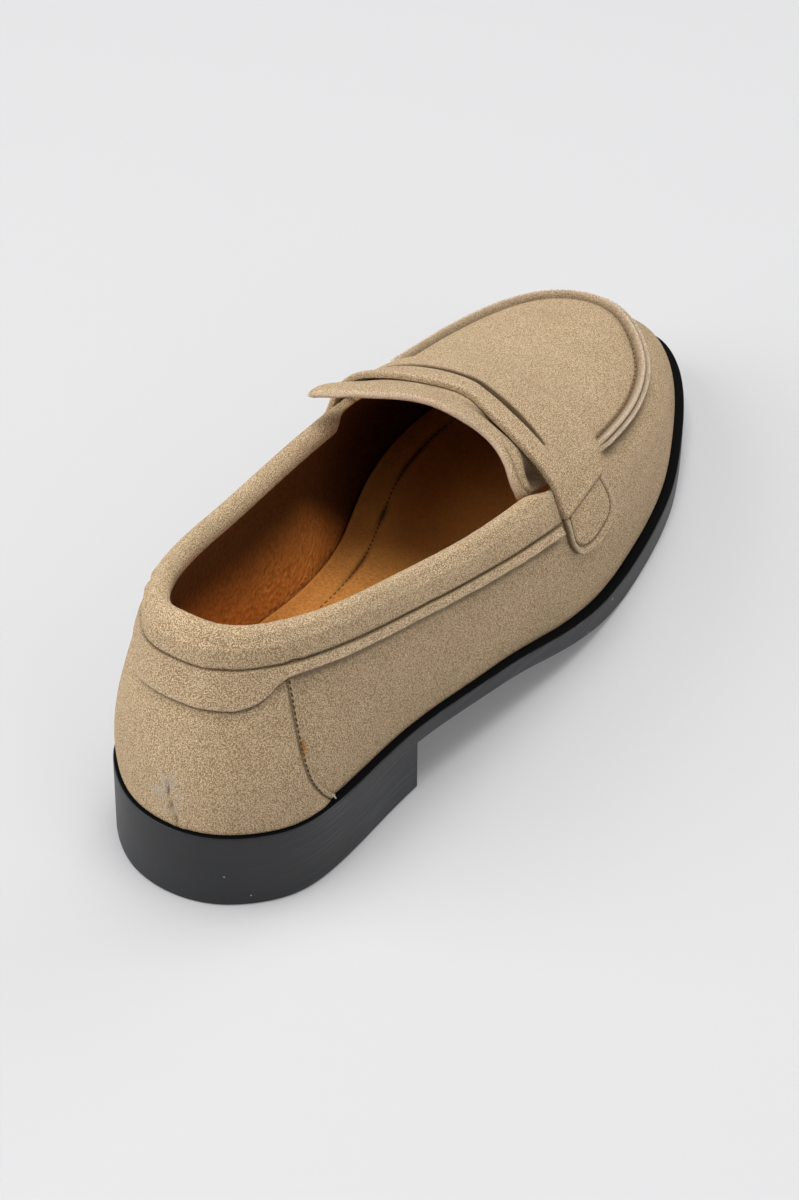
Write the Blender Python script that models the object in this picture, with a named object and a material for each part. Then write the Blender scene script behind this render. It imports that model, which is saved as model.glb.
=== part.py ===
"""Right-foot suede loafer: moulded sole, hollow upper, insole, tongue and overlays.

Shoe frame in millimetres: +Y runs from heel to toe, +X is the outer side of the
foot, +Z is up, and Y = 0 is the back of the sole's rim. Every point goes through
place(), which moves the origin to the middle of the footprint and turns
millimetres into metres.
"""

import bmesh
import bpy
import numpy as np

# Sole
SOLE_LENGTH = 258.0
EDGE_ROUND = 0.6
BREAST_STATION = 5.1
HEEL_FLARE = 0.5

# Upper
GAP = 0.3
WALL = 2.2
COLLAR_ROLL = 5.6
COLLAR_RISE = 2.4
COLLAR_DEPTH = 11.0
COLLAR_PAD = 0.9
RIDGE_HEIGHT = 2.0
RIDGE_HALF = 1.9
THROAT_STATION = 26 / 3
RIDGE_START = (9.68, 10.00)
ROLL_END = (7.85, 8.42)

# Insole and overlays
INSOLE = 2.5
TONGUE = 2.2
STRAP = 1.8
STRAP_FADE = (-0.75, -0.35)
COUNTER = 1.1
TRIM = 1.3
TRIM_ENDS = (-8.0, 8.2)

# Sections round the shoe, one row for each station from the centre back to the toe.
# Each row holds the rim and the shoulder line, which is the collar edge and, in
# front of the strap, the apron seam. Leans are degrees from upright: out at the
# foot of the wall, in at its top. The apron's rise is measured from level.
SECTION_NAMES = (
    "rim_y", "rim_out", "rim_in", "shelf",
    "out_x", "out_y", "out_z",
    "in_x", "in_y", "in_z",
    "foot_lean", "top_lean", "apron_rise", "crest_y",
)
SECTIONS = (
    (0.0, 0.0, 0.0, 2.5, 0.0, 9.8, 81.0, 0.0, 9.8, 81.0, 7, 6, 62, -40),
    (2.9, 13.0, -13.0, 2.5, 9.3, 11.6, 80.6, -8.8, 11.8, 80.6, 7, 6, 62, -22),
    (11.2, 23.8, -23.8, 2.5, 17.3, 19.5, 79.2, -16.2, 19.9, 79.2, 7, 7, 62, -4),
    (22.2, 30.1, -30.1, 2.4, 22.3, 31.0, 76.8, -21.3, 31.0, 76.8, 7, 8, 62, 16),
    (40.0, 32.2, -32.2, 2.3, 25.8, 46.0, 73.0, -24.8, 46.0, 73.5, 7, 9, 62, 38),
    (64.0, 32.9, -30.3, 2.2, 28.2, 66.0, 68.0, -27.0, 64.0, 70.0, 7, 10, 62, 60),
    (88.0, 36.0, -28.6, 2.4, 30.2, 87.0, 63.0, -28.7, 83.0, 67.5, 9, 12, 62, 82),
    (111.0, 39.2, -31.4, 2.8, 31.8, 107.0, 59.0, -30.3, 101.5, 65.0, 11, 15, 60, 104),
    (134.0, 42.0, -39.8, 3.0, 32.6, 127.0, 56.2, -32.0, 120.5, 61.8, 13, 21, 55, 125),
    (157.0, 41.5, -48.0, 3.0, 31.6, 146.0, 53.2, -33.8, 141.5, 57.0, 14, 28, 48, 145),
    (181.0, 38.3, -51.0, 3.1, 29.6, 166.0, 49.2, -35.0, 163.5, 51.2, 11, 34, 41, 163),
    (204.0, 32.7, -48.4, 3.0, 25.2, 188.0, 43.3, -35.5, 186.0, 46.0, 6, 39, 35, 180),
    (224.0, 24.4, -41.5, 2.9, 18.6, 207.0, 39.8, -34.2, 206.5, 41.6, 0, 43, 31, 193),
    (240.0, 15.9, -31.8, 2.8, 10.7, 220.0, 37.9, -29.2, 224.0, 38.6, -7, 45, 28, 202),
    (252.0, 6.3, -19.8, 2.7, 1.5, 230.0, 36.9, -19.8, 234.6, 36.8, -13, 46, 26, 207),
    (258.0, -6.2, -6.2, 2.6, -8.6, 236.0, 36.4, -8.6, 236.0, 36.4, -16, 46, 25, 209),
)
STATIONS = len(SECTIONS) - 1
LOOP = 2 * STATIONS

# Top of the foot along the middle line
CREST_NAMES = ("y", "x", "z")
CREST = (
    (80.0, 1.0, 92.0),
    (106.0, 1.0, 84.2),
    (127.0, 0.6, 76.4),
    (150.0, -0.4, 66.8),
    (174.0, -2.6, 57.6),
    (192.0, -5.0, 51.4),
    (209.0, -7.2, 46.4),
    (240.0, -9.0, 40.0),
)

# Sole heights along the foot: the rim's top and the tread side under it
SOLE_NAMES = ("y", "top", "tread")
SOLE = (
    (-10.0, 23.9, 17.6),
    (30.0, 22.9, 17.2),
    (64.0, 21.4, 15.9),
    (103.0, 17.7, 12.0),
    (135.0, 11.6, 4.8),
    (152.0, 9.0, 1.2),
    (165.0, 8.3, 0.0),
    (200.0, 8.3, 0.0),
    (219.0, 9.6, 1.4),
    (240.0, 12.2, 4.0),
    (258.0, 15.2, 7.0),
    (270.0, 17.4, 9.2),
)

# Collar trim below the collar edge: its top lies along the collar's stitching, and
# the heel tab is its deep part
TRIM_NAMES = ("station", "top", "low")
TRIM_EDGES = (
    (0.0, 7.6, 18.6),
    (1.4, 7.6, 18.6),
    (1.8, 7.6, 17.4),
    (2.1, 7.6, 15.0),
    (2.35, 7.7, 12.4),
    (2.6, 7.8, 11.2),
    (4.0, 8.0, 11.0),
    (6.0, 8.4, 11.4),
    (7.5, 9.2, 12.2),
    (8.4, 10.2, 13.2),
)

# Counter's front edge: its station at each share of the wall's height
COUNTER_NAMES = ("height", "station")
COUNTER_SEAM = (
    (0.00, 3.66),
    (0.10, 3.41),
    (0.25, 3.10),
    (0.45, 2.88),
    (0.65, 2.74),
    (0.90, 2.62),
)

# Edges across the foot. Across is 0 on the middle line, 1 on the shoulder line and
# more down the wall, below 0 on the outer side and above 0 on the inner side. The
# strap's back edge stands off the form a little where the tongue lifts it.
STRAP_NAMES = ("across", "back", "front", "stand")
STRAP_EDGES = (
    (-1.50, 8.44, 8.62, 0.0),
    (-1.46, 8.24, 9.05, 0.0),
    (-1.38, 8.19, 9.34, 0.0),
    (-1.25, 8.24, 9.42, 0.0),
    (-1.12, 8.27, 9.46, 0.0),
    (-1.00, 8.30, 9.66, 0.0),
    (-0.85, 8.31, 9.84, 0.0),
    (-0.60, 8.28, 9.98, 0.0),
    (-0.40, 8.30, 10.05, 0.0),
    (-0.25, 8.39, 10.09, 0.0),
    (-0.12, 8.49, 10.11, 0.0),
    (0.05, 8.54, 10.12, 0.0),
    (0.30, 8.51, 10.08, 0.4),
    (0.60, 8.50, 9.98, 1.6),
    (0.85, 8.56, 9.82, 2.6),
    (1.00, 8.54, 9.62, 2.0),
    (1.12, 8.42, 9.40, 0.7),
    (1.25, 8.30, 9.34, 0.0),
    (1.38, 8.18, 9.26, 0.0),
    (1.46, 8.20, 8.95, 0.0),
    (1.50, 8.36, 8.48, 0.0),
)
STAND_REACH = 0.5
SLIT_NAMES = ("across", "back", "front")
SLIT_EDGES = (
    (-0.70, 8.675, 8.685),
    (-0.45, 8.71, 8.79),
    (-0.20, 8.82, 8.90),
    (0.00, 8.97, 9.04),
    (0.20, 9.04, 9.11),
    (0.40, 9.07, 9.14),
    (0.60, 9.13, 9.18),
    (0.78, 9.18, 9.19),
)
SLIT_ENDS = (-0.70, 0.78)
SLIT_SHARES = (0.24, 0.49)

# Tongue: station of its free edge, how far it is tucked in under the form, and the
# stations between which it comes back to the form
TONGUE_NAMES = ("across", "edge", "tuck", "leave", "meet")
TONGUE_EDGE = (
    (-0.96, 8.02, 5.0, 8.05, 8.64),
    (-0.93, 7.93, 4.2, 8.04, 8.64),
    (-0.88, 7.87, 3.0, 8.02, 8.63),
    (-0.80, 7.85, 2.0, 8.00, 8.62),
    (-0.66, 7.90, 0.4, 7.80, 8.50),
    (-0.45, 7.96, -1.2, 7.60, 8.36),
    (-0.20, 7.85, -2.2, 7.60, 8.36),
    (0.00, 7.74, -2.6, 7.60, 8.36),
    (0.30, 7.58, -2.6, 7.60, 8.40),
    (0.60, 7.53, -4.2, 7.60, 8.55),
    (0.80, 7.48, -7.5, 7.60, 8.64),
)


def column(table, names, name):
    """One named column of a table."""
    return np.array([row[names.index(name)] for row in table], float)


def smooth(x, start, end):
    """Soft step from 0 at start to 1 at end."""
    t = np.clip((np.asarray(x, float) - start) / (end - start), 0, 1)
    return t * t * (3 - 2 * t)


def curve(xs, ys, x):
    """Monotone cubic through the rows of a table."""
    xs = np.asarray(xs, float)
    ys = np.asarray(ys, float)
    step = np.diff(xs)
    rate = np.diff(ys) / step
    slope = np.zeros(len(xs))
    same = rate[:-1] * rate[1:] > 0
    pair = np.where(same, rate[:-1] + rate[1:], 1.0)
    slope[1:-1] = np.where(same, 2 * rate[:-1] * rate[1:] / pair, 0.0)
    slope[0] = rate[0]
    slope[-1] = rate[-1]
    x = np.clip(np.asarray(x, float), xs[0], xs[-1])
    i = np.clip(np.searchsorted(xs, x, side="right") - 1, 0, len(xs) - 2)
    h = step[i]
    t = (x - xs[i]) / h
    a = ys[i] * (1 + 2 * t) * (1 - t) ** 2 + slope[i] * h * t * (1 - t) ** 2
    return a + ys[i + 1] * t * t * (3 - 2 * t) + slope[i + 1] * h * t * t * (t - 1)


def look_up(table, names, name, x):
    """A table's named column at x, its first column being the place."""
    return curve(column(table, names, names[0]), column(table, names, name), x)


def loop_spline(values):
    """Slopes of the smooth closed curve through evenly numbered stations."""
    n = len(values)
    matrix = 4 * np.eye(n) + np.roll(np.eye(n), 1, 0) + np.roll(np.eye(n), -1, 0)
    right = 3 * (np.roll(values, -1) - np.roll(values, 1))
    return np.linalg.solve(matrix, right)


def loop_values(name_out, name_in):
    """Values round the whole shoe: outer side to the toe, inner side back again."""
    out = column(SECTIONS, SECTION_NAMES, name_out)
    inner = column(SECTIONS, SECTION_NAMES, name_in)
    return np.concatenate([out, inner[-2:0:-1]])


def make_loop(name_out, name_in):
    """Closed curve as values and slopes at the stations."""
    values = loop_values(name_out, name_in)
    return values, loop_spline(values)


LOOPS = {
    "rim_x": make_loop("rim_out", "rim_in"),
    "rim_y": make_loop("rim_y", "rim_y"),
    "shelf": make_loop("shelf", "shelf"),
    "top_x": make_loop("out_x", "in_x"),
    "top_y": make_loop("out_y", "in_y"),
    "top_z": make_loop("out_z", "in_z"),
    "foot_lean": make_loop("foot_lean", "foot_lean"),
    "top_lean": make_loop("top_lean", "top_lean"),
    "apron_rise": make_loop("apron_rise", "apron_rise"),
    "crest_y": make_loop("crest_y", "crest_y"),
}


def around(name, u, slope=False):
    """A closed curve, or its slope, at places u round the shoe."""
    values, slopes = LOOPS[name]
    u = np.mod(np.asarray(u, float), LOOP)
    i = np.floor(u).astype(int) % LOOP
    j = (i + 1) % LOOP
    t = u - np.floor(u)
    if slope:
        rise = 6 * t * (1 - t) * (values[j] - values[i])
        return rise + slopes[i] * (1 - 4 * t + 3 * t * t) + slopes[j] * (3 * t * t - 2 * t)
    a = values[i] * (1 + 2 * t) * (1 - t) ** 2 + slopes[i] * t * (1 - t) ** 2
    return a + values[j] * t * t * (3 - 2 * t) + slopes[j] * t * t * (t - 1)


def stack(*parts):
    """Coordinates as the last axis of one array."""
    return np.stack(np.broadcast_arrays(*parts), -1)


def out_normal(u):
    """Unit vector in plan, pointing out of the rim."""
    dx = around("rim_x", u, True)
    dy = around("rim_y", u, True)
    size = np.hypot(dx, dy)
    return stack(dy / size, -dx / size)


def rim(u, inset=0.0):
    """Rim of the sole in plan, moved in by an inset."""
    point = stack(around("rim_x", u), around("rim_y", u))
    return point - out_normal(u) * np.asarray(inset, float)[..., None]


def sole_top(y):
    """Height of the sole's top."""
    return look_up(SOLE, SOLE_NAMES, "top", y)


def sole_tread(y):
    """Height of the sole's underside in front of the heel."""
    return look_up(SOLE, SOLE_NAMES, "tread", y)


def station(u):
    """Station counted from the centre back on either side."""
    u = np.mod(np.asarray(u, float), LOOP)
    return np.where(u > STATIONS, LOOP - u, u)


def crest(y):
    """Middle line over the foot."""
    return stack(look_up(CREST, CREST_NAMES, "x", y), y, look_up(CREST, CREST_NAMES, "z", y))


def crest_slope(y):
    """Fall of the middle line towards the toe."""
    return (crest(y + 0.5) - crest(y - 0.5))[..., 2]


def hermite(a, ta, b, tb, t):
    """Cubic from a to b with end tangents."""
    t = np.asarray(t, float)[..., None]
    first = a * (1 + 2 * t) * (1 - t) ** 2 + ta * t * (1 - t) ** 2
    return first + b * t * t * (3 - 2 * t) + tb * t * t * (t - 1)


def foot_point(u):
    """Foot of the wall on the shelf."""
    plan = rim(u, around("shelf", u))
    return stack(plan[..., 0], plan[..., 1], sole_top(plan[..., 1]) + GAP)


def shoulder(u):
    """Collar edge and apron seam."""
    return stack(around("top_x", u), around("top_y", u), around("top_z", u))


def wall_length(u):
    """Straight height of the wall in its section."""
    return np.linalg.norm(shoulder(u) - foot_point(u), axis=-1)


def top_length(u):
    """Straight length of the top in its section."""
    return np.linalg.norm(crest(around("crest_y", u)) - shoulder(u), axis=-1)


def tilted(plan, angle, sign):
    """Vector leaning from upright along a plan direction by an angle in degrees."""
    a = np.radians(angle)
    flat = plan * (sign * np.sin(a))[..., None]
    return stack(flat[..., 0], flat[..., 1], np.cos(a))


def surface(u, profile):
    """Upper's outer form: profile 0 to 1 is the wall, 1 to 2 the top."""
    u, profile = np.broadcast_arrays(np.asarray(u, float), np.asarray(profile, float))
    foot = foot_point(u)
    top = shoulder(u)
    normal = out_normal(u)
    size = wall_length(u)[..., None]
    low = tilted(normal, around("foot_lean", u), 1) * size
    high = tilted(normal, around("top_lean", u), -1) * size
    wall = hermite(foot, low, top, high, np.clip(profile, 0, 1))
    crest_y = around("crest_y", u)
    middle = crest(crest_y)
    inward = (middle - top)[..., :2]
    inward = inward / np.linalg.norm(inward, axis=-1)[..., None]
    reach = top_length(u)[..., None]
    start = tilted(inward, 90 - around("apron_rise", u), 1) * reach
    level = stack(inward[..., 0], inward[..., 1], inward[..., 1] * crest_slope(crest_y))
    over = hermite(top, start, middle, level * reach, np.clip(profile - 1, 0, 1))
    return np.where((profile <= 1)[..., None], wall, over)


def unit(v):
    """Vectors of length one."""
    return v / np.maximum(np.linalg.norm(v, axis=-1), 1e-9)[..., None]


def surface_normal(u, profile):
    """Outward normal of the upper's form."""
    u, profile = np.broadcast_arrays(np.asarray(u, float), np.asarray(profile, float))
    step = 0.02
    along = surface(u + step, profile) - surface(u - step, profile)
    below = np.clip(profile - step, 0, 2)
    above = np.clip(profile + step, 0, 2)
    up = surface(u, above) - surface(u, below)
    normal = unit(np.cross(along, up))
    fall = crest_slope(around("crest_y", u))
    flat = unit(stack(0 * fall, -fall, 1 + 0 * fall))
    near = smooth(profile, 1.93, 1.99)[..., None]
    return unit(normal * (1 - near) + flat * near)


def offset(u, profile, distance):
    """Point of the upper's form moved out along its normal."""
    return surface(u, profile) + surface_normal(u, profile) * np.asarray(distance, float)[..., None]


def pad(u, profile):
    """Soft swelling of the collar and raised ridge of the apron seam."""
    k = station(u)
    down = (1 - profile) * wall_length(u)
    t = np.clip(down / (look_up(TRIM_EDGES, TRIM_NAMES, "top", k) - GAP), 0, 1)
    collar = COLLAR_PAD * np.sqrt(np.sin(np.pi * t) + 1e-9) * (1 - smooth(k, *ROLL_END))
    over = np.where(profile > 1, (profile - 1) * top_length(u), down)
    bell = 1 - smooth(over, 0, RIDGE_HALF)
    return np.where(profile <= 1, collar, 0) + RIDGE_HEIGHT * bell * smooth(k, *RIDGE_START)


def roll_share(u):
    """Share of the collar padding, fading out under the strap."""
    return 1 - smooth(station(u), *ROLL_END)


def thickness(u, profile):
    """Wall thickness, with the collar's padding inside its top."""
    down = (1 - profile) * wall_length(u)
    share = (1 - smooth(down, 3.0, COLLAR_DEPTH)) * roll_share(u)
    return WALL + (COLLAR_ROLL - WALL) * np.where(profile <= 1, share, 0)


def side_columns():
    """Stations of the mesh columns on one side."""
    return np.arange(0, 3 * STATIONS + 1) / 3


RIM_X = around("rim_x", np.concatenate([side_columns(), -side_columns()]))
FOOT_MID_X = (RIM_X.max() + RIM_X.min()) / 2
FOOT_MID_Y = (SOLE_LENGTH - HEEL_FLARE) / 2


def place(points):
    """Shoe frame in millimetres to the part's frame in metres."""
    return (np.asarray(points, float) - (FOOT_MID_X, FOOT_MID_Y, 0)) / 1000


class Solid:
    """Vertices and faces of one closed solid, gathered row by row."""

    def __init__(self):
        self.points = []
        self.faces = []

    def row(self, points):
        """Add points and return their numbers."""
        first = len(self.points)
        self.points.extend(np.asarray(points, float).reshape(-1, 3))
        return list(range(first, len(self.points)))

    def face(self, corners):
        """Add one face, leaving out repeated corners."""
        kept = [c for i, c in enumerate(corners) if c != corners[i - 1]]
        if len(kept) > 2:
            self.faces.append(kept)

    def strip(self, low, high, closed=False):
        """Quads between two rows of equal length."""
        last = len(low) if closed else len(low) - 1
        for i in range(last):
            j = (i + 1) % len(low)
            self.face([low[i], low[j], high[j], high[i]])

    def build(self, name, material, collection):
        """Make the object, with its normals turned out."""
        mesh = bpy.data.meshes.new(name)
        mesh.from_pydata(place(self.points).tolist(), [], self.faces)
        mesh.validate()
        turn_out(mesh)
        mesh.materials.append(material)
        obj = bpy.data.objects.new(name, mesh)
        collection.objects.link(obj)
        return obj


def turn_out(mesh):
    """Turn all faces out."""
    work = bmesh.new()
    work.from_mesh(mesh)
    bmesh.ops.recalc_face_normals(work, faces=work.faces)
    work.to_mesh(mesh)
    work.free()


def shell(outer, inner, closed=False, keep=None):
    """Sheet solid between two grids of points, with its open edges closed."""
    solid = Solid()
    rows, cols = outer.shape[:2]
    a = [solid.row(r) for r in outer]
    b = [solid.row(r) for r in inner]
    wide = cols if closed else cols - 1
    keep = np.ones((rows - 1, wide), bool) if keep is None else keep
    for i in range(rows - 1):
        for j in range(wide):
            if not keep[i, j]:
                continue
            n = (j + 1) % cols
            solid.face([a[i][j], a[i][n], a[i + 1][n], a[i + 1][j]])
            solid.face([b[i][j], b[i + 1][j], b[i + 1][n], b[i][n]])
            sides = (
                (i - 1, j, (i, j), (i, n)),
                (i + 1, j, (i + 1, n), (i + 1, j)),
                (i, j - 1, (i + 1, j), (i, j)),
                (i, j + 1, (i, n), (i + 1, n)),
            )
            for r, c, p, q in sides:
                c = c % cols if closed else c
                inside = 0 <= r < rows - 1 and 0 <= c < wide and keep[r, c]
                if not inside:
                    solid.face([a[p[0]][p[1]], b[p[0]][p[1]], b[q[0]][q[1]], a[q[0]][q[1]]])
    return solid


def make_sole():
    """Sole with its heel, as one moulded piece."""
    solid = Solid()
    ks = side_columns()
    ks[np.argmin(abs(ks - BREAST_STATION))] = BREAST_STATION
    step = int(np.argmin(abs(ks - BREAST_STATION)))
    loop = np.concatenate([ks, LOOP - ks[-2:0:-1]])
    count = len(loop)
    last = len(ks) - 1

    def mate(i):
        """Column on the other side."""
        return (count - i) % count

    outer = rim(loop)
    inset = rim(loop, np.full(count, EDGE_ROUND))
    for i in (step, mate(step)):
        inset[i] = outer[i] - (np.sign(outer[i, 0]) * EDGE_ROUND, 0)
    y = outer[:, 1]
    top = sole_top(y)
    tread = sole_tread(y)
    flare = HEEL_FLARE * smooth(station(loop), 4.0, 1.0)[:, None] * out_normal(loop)
    heel_ring = outer + flare
    heel_inset = inset + flare
    top_in = solid.row(np.column_stack([inset, top]))
    top_out = solid.row(np.column_stack([outer, top - EDGE_ROUND]))
    heel_out = solid.row(np.column_stack([heel_ring, 0 * y + EDGE_ROUND]))
    heel_in = solid.row(np.column_stack([heel_inset, 0 * y]))
    sole_out = solid.row(np.column_stack([outer, tread + EDGE_ROUND]))
    sole_in = solid.row(np.column_stack([inset, tread]))
    solid.strip(top_in, top_out, True)
    for i in range(last):
        j = i + 1
        pairs = ((i, j), (mate(j), mate(i)))
        solid.face([top_in[i], top_in[j], top_in[mate(j)], top_in[mate(i)]])
        low_out, low_in = (heel_out, heel_in) if j <= step else (sole_out, sole_in)
        solid.face([low_in[i], low_in[j], low_in[mate(j)], low_in[mate(i)]])
        for p, q in pairs:
            solid.face([low_out[p], low_out[q], low_in[q], low_in[p]])
            wall = [top_out[p], top_out[q], low_out[q], low_out[p]]
            if j == step and q == step:
                wall.insert(2, sole_out[q])
            if j == step and p == mate(step):
                wall.append(sole_out[p])
            solid.face(wall)
    near, far = step, mate(step)
    solid.face([
        sole_out[near], heel_out[near], heel_in[near], heel_in[far],
        heel_out[far], sole_out[far], sole_in[far], sole_in[near],
    ])
    return solid


def insole_ring(u):
    """Insole edge in plan, just inside the wall where it leans in most."""
    lean = np.radians(np.clip(-around("foot_lean", u), 0, None))
    return rim(u, around("shelf", u) + WALL + 2 * GAP + (INSOLE + 2 * GAP) * np.tan(lean))


def make_insole():
    """Insole sheet on the sole's top."""
    solid = Solid()
    ks = side_columns()
    loop = np.concatenate([ks, LOOP - ks[-2:0:-1]])
    count = len(loop)
    plan = insole_ring(loop)
    base = sole_top(plan[:, 1]) + GAP
    low = solid.row(np.column_stack([plan, base]))
    high = solid.row(np.column_stack([plan, base + INSOLE]))
    solid.strip(low, high, True)
    for i in range(len(ks) - 1):
        j = i + 1
        a, b = (count - i) % count, (count - j) % count
        solid.face([high[i], high[j], high[b], high[a]])
        solid.face([low[i], low[a], low[b], low[j]])
    return solid


WALL_SHARES = (0.0, 0.08, 0.20, 0.35, 0.50, 0.65, 0.79, 0.91, 1.0)
COLLAR_SHARES = (0.72, 0.45)
RIDGE_STEPS = (1.9, 1.2, 0.6)
TOP_SHARES = (0.22, 0.36, 0.52, 0.68, 0.84)


def wall_profiles(u):
    """Profile values of the wall's rows, with one row on the collar's stitching."""
    size = wall_length(u)
    depth = look_up(TRIM_EDGES, TRIM_NAMES, "top", station(u)) - GAP
    rows = [(1 - depth / size) * s for s in WALL_SHARES]
    rows += [1 - depth * s / size for s in COLLAR_SHARES]
    rows += [1 - d / size for d in RIDGE_STEPS]
    return rows + [np.ones(np.shape(u))]


def top_profiles(u):
    """Profile values of the rows over the top."""
    size = top_length(u)
    rows = [1 + d / size for d in RIDGE_STEPS[::-1]]
    return rows + [np.full(np.shape(u), 1 + s) for s in TOP_SHARES]


def make_upper():
    """Hollow upper: wall, padded collar and closed front, open at collar and sole."""
    solid = Solid()
    ks = side_columns()
    throat = int(round(THROAT_STATION * 3))
    loop = np.concatenate([ks, LOOP - ks[-2:0:-1]])
    count = len(loop)
    last = len(ks) - 1
    outer = []
    inner = []
    for profile in wall_profiles(loop):
        outer.append(solid.row(offset(loop, profile, pad(loop, profile))))
        points = offset(loop, profile, -thickness(loop, profile))
        if not inner:
            plan = rim(loop, around("shelf", loop) + WALL)
            points = np.column_stack([plan, foot_point(loop)[:, 2]])
        inner.append(solid.row(points))
    for i in range(len(outer) - 1):
        solid.strip(outer[i], outer[i + 1], True)
        solid.strip(inner[i + 1], inner[i], True)
    solid.strip(inner[0], outer[0], True)
    rear = [i % count for i in range(-throat, throat + 1)]
    rolls = roll_rows(solid, loop, rear, outer[-1], inner[-1])
    for low, high in zip(rolls, rolls[1:]):
        solid.strip(low, high)
    make_front(solid, loop, throat, last, outer[-1], inner[-1], rolls)
    return solid


def roll_rows(solid, loop, rear, outer_top, inner_top):
    """Rows over the rounded collar, flat where it runs under the strap."""
    u = loop[rear]
    a = np.array([solid.points[outer_top[i]] for i in rear])
    b = np.array([solid.points[inner_top[i]] for i in rear])
    up = unit(surface(u, np.ones(len(u))) - surface(u, np.full(len(u), 0.9)))
    rise = COLLAR_RISE * roll_share(u)
    rows = [[outer_top[i] for i in rear]]
    for degrees in (30, 60, 90, 120, 150):
        angle = np.radians(degrees)
        across = (a + b) / 2 + (a - b) / 2 * np.cos(angle)
        rows.append(solid.row(across + up * (rise * np.sin(angle))[:, None]))
    rows.append([inner_top[i] for i in rear])
    return rows


def make_front(solid, loop, throat, last, outer_top, inner_top, rolls):
    """Top of the forefoot, both sides meeting on the middle line."""
    ks = loop[throat:last + 1]
    sides = {}
    for side, u in (("out", ks), ("in", np.mod(LOOP - ks, LOOP))):
        columns = list(range(throat, last + 1))
        if side == "in":
            columns = [(len(loop) - c) % len(loop) for c in columns]
        grids = []
        for first, amount in ((outer_top, 0), (inner_top, -WALL)):
            rows = [[first[c] for c in columns]]
            for profile in top_profiles(u):
                lift = pad(u, profile) if amount == 0 else np.full(len(u), amount)
                rows.append(solid.row(offset(u, profile, lift)))
            grids.append(rows)
        sides[side] = grids
    for layer, amount in ((0, 0.0), (1, -WALL)):
        middle = solid.row(offset(ks, np.full(len(ks), 2.0), np.full(len(ks), amount)))
        middle[-1] = middle[-2]
        for side in sides:
            sides[side][layer].append(middle)
        tip = [row[-1] for row in sides["out"][layer]]
        for row, number in zip(sides["in"][layer], tip):
            row[-1] = number
    for side in sides:
        outside, inside = sides[side]
        for i in range(len(outside) - 1):
            solid.strip(outside[i], outside[i + 1])
            solid.strip(inside[i + 1], inside[i])
        end = -1 if side == "out" else 0
        seam = [row[end] for row in rolls]
        solid.face(seam + [inside[1][0], outside[1][0]])
        for i in range(1, len(outside) - 1):
            solid.face([outside[i][0], inside[i][0], inside[i + 1][0], outside[i + 1][0]])


def place_across(k, across):
    """Place round the shoe and profile of a station at a place across the foot."""
    k, across = np.broadcast_arrays(k, across)
    return np.where(across > 0, LOOP - k, k), 2 - abs(across)


def make_strap():
    """Strap over the vamp with its slit and two stitched-down ends."""
    end = STRAP_EDGES[-1][0]
    low, high = SLIT_ENDS
    across = np.concatenate([
        np.linspace(-end, -1.4, 4), np.linspace(-1.3, -0.8, 6),
        np.linspace(low, high, 17), np.linspace(0.88, 1.3, 5), np.linspace(1.4, end, 4)])
    back = look_up(STRAP_EDGES, STRAP_NAMES, "back", across)
    front = look_up(STRAP_EDGES, STRAP_NAMES, "front", across)
    slit = (across >= low) & (across <= high)
    middle = back + (front - back) * np.where(across < 0, *SLIT_SHARES)
    slit_back = np.where(slit, look_up(SLIT_EDGES, SLIT_NAMES, "back", across), middle - 0.005)
    slit_front = np.where(slit, look_up(SLIT_EDGES, SLIT_NAMES, "front", across), middle + 0.005)
    rows = [back + (slit_back - back) * share for share in (0, 0.12, 0.5, 1)]
    rows += [slit_front + (front - slit_front) * share for share in (0, 0.3, 0.65, 0.93, 1)]
    rows = np.array(rows)
    stand = look_up(STRAP_EDGES, STRAP_NAMES, "stand", across)
    stand = stand * (1 - smooth(rows, back, back + STAND_REACH))
    u, profile = place_across(rows, across)
    keep = np.ones((len(rows) - 1, len(across) - 1), bool)
    keep[3, slit[:-1] & slit[1:]] = False
    upper = np.full(u.shape, GAP + STRAP)
    upper[0] -= 0.5
    fade = smooth(across, *STRAP_FADE)
    for row, least in ((-1, 0.5), (-2, 0.8), (-3, 1.5)):
        upper[row] += (least - STRAP) * fade
    upper[-1] -= 0.6 * (1 - fade)
    return shell(offset(u, profile, upper + stand), offset(u, profile, GAP + stand), keep=keep)


def make_tongue():
    """Tongue from under the strap back over the opening."""
    across = np.concatenate([(-0.96, -0.92, -0.86), np.linspace(-0.78, 0.70, 15), (0.77, 0.80)])
    edge = look_up(TONGUE_EDGE, TONGUE_NAMES, "edge", across)
    root = THROAT_STATION - 0.02
    rows = np.array([edge + (root - edge) * s for s in (0, 0.05, 0.2, 0.4, 0.6, 0.8, 1)])
    u, profile = place_across(rows, across)
    tuck, leave, meet = (look_up(TONGUE_EDGE, TONGUE_NAMES, name, across) for name in TONGUE_NAMES[2:])
    tuck = tuck * (1 - smooth(rows, leave, meet))
    return shell(offset(u, profile, -tuck), offset(u, profile, -tuck - TONGUE))


def trim_profile(u, depth):
    """Profile value at a depth below the collar edge."""
    return 1 - depth / wall_length(u)


def trim_edge(u, name):
    """Top or low edge of the collar trim."""
    return look_up(TRIM_EDGES, TRIM_NAMES, name, abs(u))


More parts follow.
